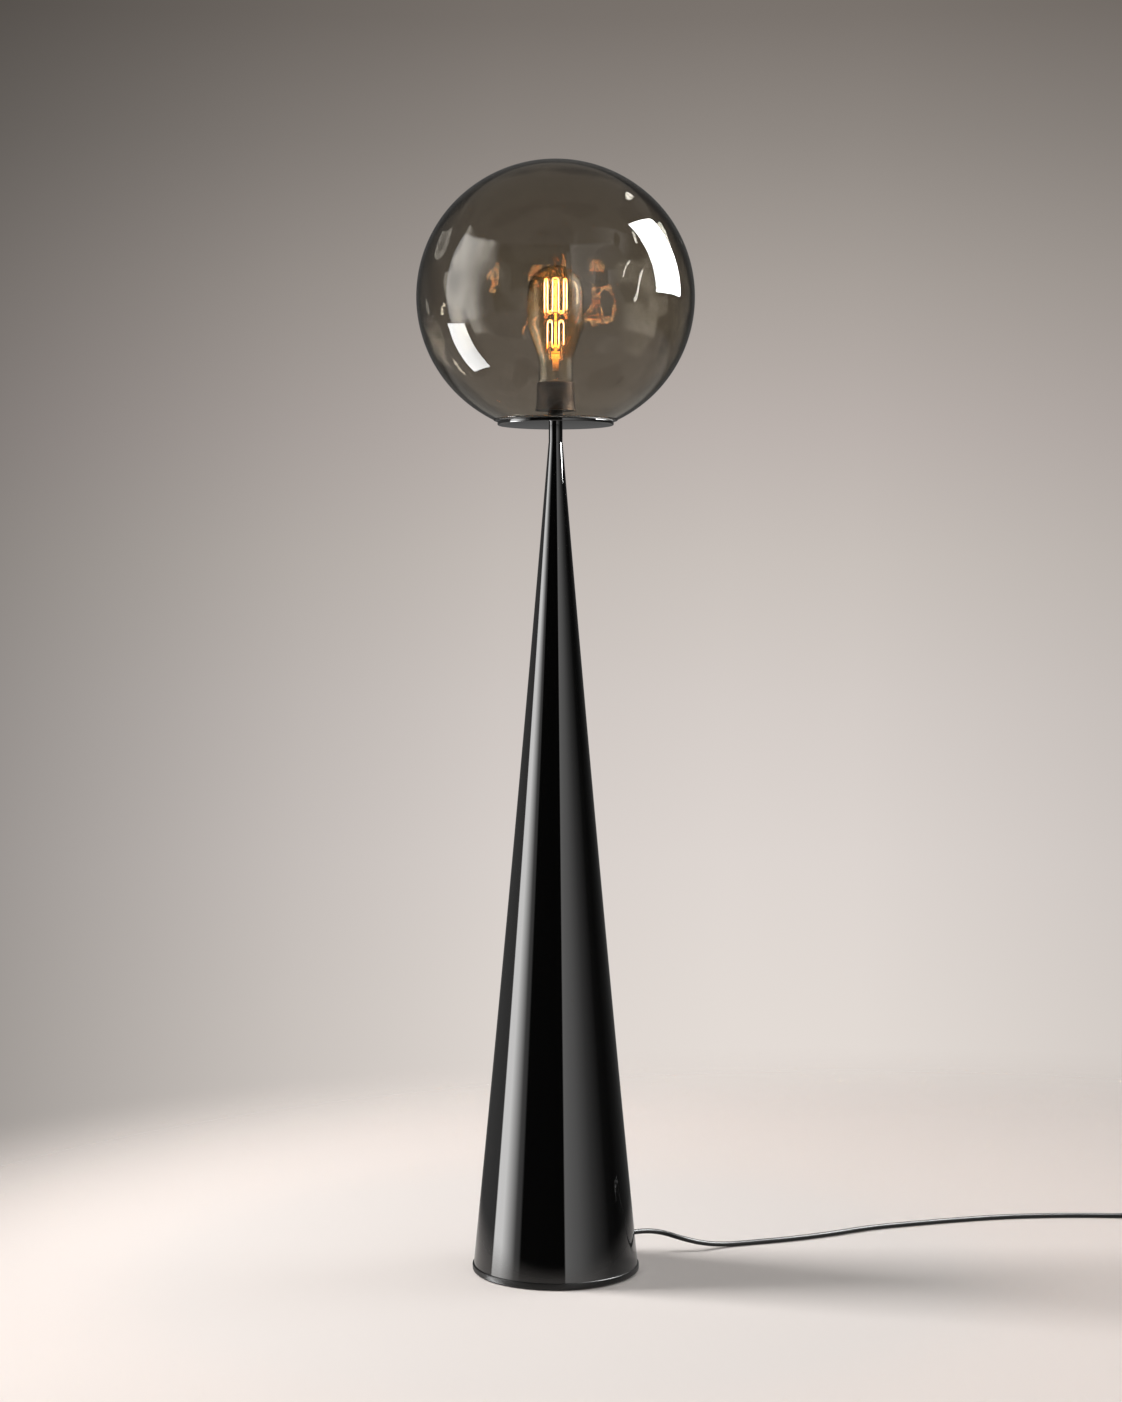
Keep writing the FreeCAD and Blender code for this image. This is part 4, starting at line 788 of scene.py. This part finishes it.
def globe_side(wall, lip, count):
    """The globe's side from its lip to its top: a belly arc between two crown arcs."""
    half_width, half_height = GLOBE_RADIUS - wall, GLOBE_RADIUS - GLOBE_FLATTENING - wall
    middle = GLOBE_MIDDLE
    both = half_width + half_height
    reach = (math.sqrt(both ** 2 + 2 * (half_width ** 2 + half_height ** 2)) - both) / 2
    x, z = (half_width + reach) / 2, (half_height + reach) / 2
    crown = (x * x + z * z - half_height ** 2) / (2 * (z - half_height))
    belly = (x * x + z * z - half_width ** 2) / (2 * (x - half_width))
    crown_radius, belly_radius = half_height - crown, half_width - belly
    start = math.degrees(math.asin((lip - middle + crown) / crown_radius))
    meet = math.degrees(math.asin(z / belly_radius))
    meet_crown = math.degrees(math.asin((z - crown) / crown_radius))
    outline = arc((0, middle - crown), crown_radius, start, -meet_crown, count // 3)[:-1]
    outline += arc((belly, middle), belly_radius, -meet, meet, count)[:-1]
    outline += arc((0, middle + crown), crown_radius, meet_crown, 90, count // 2)
    outline[-1] = (0.0, middle + half_height)
    return outline


class LAMP_OT_globe(bpy.types.Operator):
    """Blow the smoked glass globe with its ground rim"""
    bl_idname = "lamp.globe"
    bl_label = "Globe"

    def execute(self, context):
        settings = context.scene.lamp_globe
        rim = settings.rim
        lip = GLOBE_LOW.z + rim
        outer = globe_side(0.0, lip, 60)
        inner = globe_side(settings.wall, lip, 60)
        ground = rounded([(inner[0][0], lip), (inner[0][0] + rim, GLOBE_LOW.z),
                          (outer[0][0] - rim * 0.2, GLOBE_LOW.z), (outer[0][0], lip)],
                         {2: rim * 0.7})
        globe = lathe("globe_glass", outer + inner[::-1] + ground[1:-1], 192)
        globe.visible_shadow = False
        dress(globe, smoked_glass(), "globe", "smoked_glass", "glass_globe")
        globe.data.materials.append(smoked_lining())
        middle = (GLOBE_LOW + GLOBE_HIGH) / 2
        for face in globe.data.polygons:
            face.material_index = int((face.center - middle).dot(face.normal) < 0)
        return {"FINISHED"}


class LAMP_OT_plate(bpy.types.Operator):
    """Turn the disc that carries the globe, and the stem under it"""
    bl_idname = "lamp.plate"
    bl_label = "Plate and stem"

    def execute(self, context):
        lacquer = black_lacquer()
        plate_r = PLATE_HIGH.x
        bore = 5.15 * MM
        plate_top = PLATE_LOW.z + 4.0 * MM
        locate = 60.55 * MM
        outline = rounded([(bore, PLATE_LOW.z), (plate_r, PLATE_LOW.z), (plate_r, plate_top),
                           (locate, plate_top), (locate, PLATE_HIGH.z),
                           (locate - 3 * MM, PLATE_HIGH.z), (locate - 3 * MM, plate_top),
                           (bore, plate_top)],
                          {1: 1.0 * MM, 2: 1.0 * MM, 4: 0.4 * MM, 5: 0.4 * MM})
        dress(lathe("plate", outline, 160), lacquer, "lamp", "black_lacquer", "gallery_plate")
        stem_r = STEM_HIGH.x
        stem = rounded([(bore, STEM_LOW.z), (stem_r, STEM_LOW.z), (stem_r, STEM_HIGH.z),
                        (bore, STEM_HIGH.z)], {1: 0.3 * MM, 2: 0.3 * MM})
        dress(lathe("stem", stem, 64), lacquer, "lamp", "black_lacquer", "stem_tube")
        return {"FINISHED"}


# ---- cone and foot -----------------------------------------------------------

CONE_BOW = 1.75 * MM
CONE_WALL = 1.2 * MM


def cone_radius(height, depth=0.0):
    foot, tip = 89.3 * MM, 7.7 * MM
    t = (height - CONE_LOW.z) / (CONE_HIGH.z - CONE_LOW.z)
    return foot + (tip - foot) * t - 4 * CONE_BOW * t * (1 - t) - depth


class LAMP_OT_cone(bpy.types.Operator):
    """Spin the tall lacquered cone and the flat foot under it"""
    bl_idname = "lamp.cone"
    bl_label = "Cone and foot"

    def execute(self, context):
        levels = [CONE_LOW.z + (CONE_HIGH.z - CONE_LOW.z) * i / 40 for i in range(41)]
        side = [(cone_radius(z), z) for z in levels]
        inside = [(cone_radius(z, CONE_WALL), z) for z in reversed(levels)]
        cone = lathe("cone", side + inside, 160)
        dress(cone, black_lacquer(), "lamp", "black_lacquer", "cone_shell")
        r = BASE_HIGH.x
        top, bottom = CONE_LOW.z, BASE_LOW.z
        pad_r, pad_top = 84.15 * MM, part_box("floor_pad")[1].z
        outline = rounded([(0, pad_top), (pad_r, pad_top), (pad_r, bottom), (r, bottom), (r, top),
                           (0, top)], {3: 1.6 * MM, 4: 0.9 * MM})
        foot = lathe("foot_plate", outline, 160)
        dress(foot, black_powder_coat(), "lamp", "black_satin", "base_plate")
        return {"FINISHED"}


class LAMP_OT_lampholder(bpy.types.Operator):
    """Spin the lampholder's bronze skirt and its neck"""
    bl_idname = "lamp.lampholder"
    bl_label = "Lampholder"

    def execute(self, context):
        wall = 1.2 * MM
        bottom, top = SKIRT_LOW.z, SKIRT_HIGH.z
        foot, waist, mouth = 22.0 * MM, 20.6 * MM, 20.1 * MM
        flare = [(foot - (foot - waist) * math.sin(math.pi / 2 * t) ** 0.8, bottom + 10 * MM * t)
                 for t in [i / 10 for i in range(11)]]
        side = flare + [(mouth, top - 1.5 * MM)] + arc((mouth - 1.5 * MM, top - 1.5 * MM),
                                                       1.5 * MM, 0, 90, 6)[1:]
        inside = [(r - wall, z) for r, z in reversed(flare + [(mouth, top - 1.5 * MM)])]
        dress(lathe("holder_shell", side + inside, 96), dark_bronze(), "lamp", "dark_bronze",
              "holder_skirt")
        neck_foot, neck_top = 10.0 * MM, 7.45 * MM
        bore = 5.05 * MM
        z0 = DOME_LOW.z
        floor_low, floor_high = bottom + 0.8 * MM, bottom + 2.8 * MM
        floor_r = 18.75 * MM
        neck = rounded([(bore, z0), (neck_foot, z0), (neck_foot, z0 + 1.6 * MM),
                        (neck_top, bottom), (neck_top, floor_low), (floor_r, floor_low),
                        (floor_r, floor_high), (bore, floor_high)], {1: 0.3 * MM, 2: 0.8 * MM,
                                                                      3: 1.5 * MM})
        dress(lathe("holder_neck", neck, 96), black_powder_coat(), "lamp", "black_satin",
              "holder_dome")
        return {"FINISHED"}


# ---- bulb --------------------------------------------------------------------

def bulb_side(wall):
    """Half outline of the bulb's glass: neck, taper, belly and a ball top."""
    neck, wide = 18.3 * MM, (BULB_HIGH.x - BULB_LOW.x) / 2
    stub = 12.3 * MM
    ball_at = BULB_HIGH.z - wide
    points = [(stub - wall, CAP_TOP - 8 * MM), (stub - wall, CAP_TOP + 0.1 * MM),
              (neck - wall, CAP_TOP + 3.4 * MM), (neck - wall, CAP_TOP + 27.5 * MM),
              (wide - wall, CAP_TOP + 62.6 * MM), (wide - wall, ball_at)]
    outline = rounded(points, {1: 0.8 * MM, 2: 3.0 * MM, 3: 9 * MM + wall, 4: 16 * MM - wall}, 10)
    outline += arc((0, ball_at), wide - wall, 0, 90, 24)[1:]
    outline[-1] = (0.0, BULB_HIGH.z - wall)
    return outline


def cage_points(radius, strands, bottom, height, first):
    """The one wire of a squirrel cage: strands that loop over at top and bottom by turns."""
    step = 2 * math.pi / strands
    bend = radius * math.sin(step / 2)
    points = []
    for i in range(strands):
        a = first + step * i
        here = Vector((radius * math.cos(a), radius * math.sin(a), 0))
        there = Vector((radius * math.cos(a + step), radius * math.sin(a + step), 0))
        low, high = bottom + bend, bottom + height - bend
        rising = i % 2 == 0
        ends = (low, high) if rising else (high, low)
        for k in range(13):
            z = ends[0] + (ends[1] - ends[0]) * k / 12
            points.append(here + Vector((0, 0, z)))
        if i < strands - 1:
            middle, half = (here + there) / 2, (there - here) / 2
            for k in range(1, 8):
                t = math.pi * k / 8
                lift = bend * math.sin(t) * (1 if rising else -1)
                points.append(middle - half * math.cos(t) + Vector((0, 0, ends[1] + lift)))
    return points


class LAMP_OT_bulb(bpy.types.Operator):
    """Blow the bulb's glass and set the two glowing cages in it"""
    bl_idname = "lamp.bulb"
    bl_label = "Bulb"

    def execute(self, context):
        settings = context.scene.lamp_bulb
        outline = bulb_side(0.0) + bulb_side(settings.wall)[::-1]
        glass = lathe("bulb_envelope", outline, 128)
        glass.visible_shadow = False
        dress(glass, amber_glass(), "bulb", "amber_glass", "bulb_glass")
        hot = hot_carbon()
        for name, node, radius, strands in (
                ("upper_cage", "upper_filament", 12.3 * MM, settings.upper_strands),
                ("lower_cage", "lower_filament", 9.4 * MM, settings.lower_strands)):
            low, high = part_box(node)
            gap = 0.5 * MM
            points = cage_points(radius, strands, low.z + gap, high.z - low.z - 2 * gap,
                                 math.pi / strands)
            cage = tube(name, points, settings.wire / 2, 8)
            cage.visible_shadow = False
            dress(cage, hot, "bulb", "hot_filament", node)
        for name, low, high, watts in (("upper_glow", UPPER_LOW, UPPER_HIGH, 3.0),
                                       ("lower_glow", LOWER_LOW, LOWER_HIGH, 1.6)):
            data = bpy.data.lights.new(name, "POINT")
            data.energy = watts
            data.color = linear("#FFA850")[:3]
            data.shadow_soft_size = 12 * MM
            light = bpy.data.objects.new(name, data)
            light.location = (0, 0, (low.z + high.z) / 2)
            light.visible_camera = False
            light.visible_glossy = False
            light.visible_transmission = False
            context.scene.collection.objects.link(light)
            light.parent = frame["bodies"]["bulb"]
        return {"FINISHED"}


class LAMP_OT_details(bpy.types.Operator):
    """Finish the pieces inside the lamp, the switch and the plug"""
    bl_idname = "lamp.details"
    bl_label = "Inner pieces, switch and plug"

    def execute(self, context):
        plastic = moulded_plastic()
        steel = metal("zinc_plated_steel", "#9A9DA0", "#B9BCBE", 0.30, 1.5)
        brass = metal("bare_brass", "#B08A4A", "#D0AC68", 0.22, 2.0)
        nickel = metal("nickel_wire", "#8A8880", "#A6A49A", 0.30, 0.6)
        tin = metal("tinned_cap", "#B4B6B6", "#D0D2D0", 0.25, 1.2)
        pins = metal("plated_pins", "#B8B8B6", "#DADAD6", 0.12, 3.0)
        iron = dull("cast_iron", "#2C2C2C", "#3A3A39", 0.7, 2.0, 0.3)
        felt = dull("pressed_felt", "#141414", "#202022", 0.95, 0.7, 0.3, 0.4)
        silicone = dull("silicone", "#2A2A2A", "#323232", 0.5, 1.0, 0.02)
        porcelain = dull("porcelain", "#DCD8CE", "#E6E2DA", 0.18, 6.0, 0.01)
        insulation = dull("wire_insulation", "#5A3420", "#6B3E26", 0.45, 1.0, 0.01)
        black_glass = dull("black_glass", "#070707", "#0C0C0C", 0.12, 3.0, 0.01)
        finishes = {
            "floor_pad": felt, "base_screws": steel, "counterweight": iron, "tip_plug": steel,
            "tie_tube": steel, "tie_washer": steel, "tie_nut": steel, "threaded_nipple": brass,
            "globe_seat_ring": silicone, "holder_core": porcelain, "screw_shell": brass,
            "centre_contact": brass, "terminal_screws": brass, "bulb_cap": tin,
            "bulb_insulator": black_glass, "bulb_contact": tin, "bulb_mount": clear_glass(),
            "filament_supports": nickel, "cord_boot": plastic, "inner_lead": cord_sheath(),
            "core_wires": insulation, "cord_clamp": steel, "clamp_screws": steel,
            "switch_base": plastic, "switch_cover": plastic, "switch_button": plastic,
            "switch_screws": steel, "plug_body": plastic, "plug_pins": pins,
        }
        for name, material in finishes.items():
            finish_node(name, material)
        frame["nodes"]["bulb_mount"].visible_shadow = False
        return {"FINISHED"}


STEPS = [LAMP_OT_camera, LAMP_OT_cord, LAMP_OT_stage, LAMP_OT_globe, LAMP_OT_plate, LAMP_OT_cone,
         LAMP_OT_lampholder, LAMP_OT_bulb, LAMP_OT_details]
GROUPS = {"lamp_globe": GlobeSettings, "lamp_bulb": BulbSettings, "lamp_cord": CordSettings}


def register():
    for name, group in GROUPS.items():
        bpy.utils.register_class(group)
        setattr(bpy.types.Scene, name, bpy.props.PointerProperty(type=group))
    for kind in [*STEPS, LAMP_PT_sidebar]:
        bpy.utils.register_class(kind)


def unregister():
    for kind in [*STEPS, LAMP_PT_sidebar]:
        bpy.utils.unregister_class(kind)
    for name, group in GROUPS.items():
        delattr(bpy.types.Scene, name)
        bpy.utils.unregister_class(group)


def main():
    register()
    for step in STEPS:
        family, name = step.bl_idname.split(".")
        getattr(getattr(bpy.ops, family), name)()


if __name__ == "__main__":
    main()
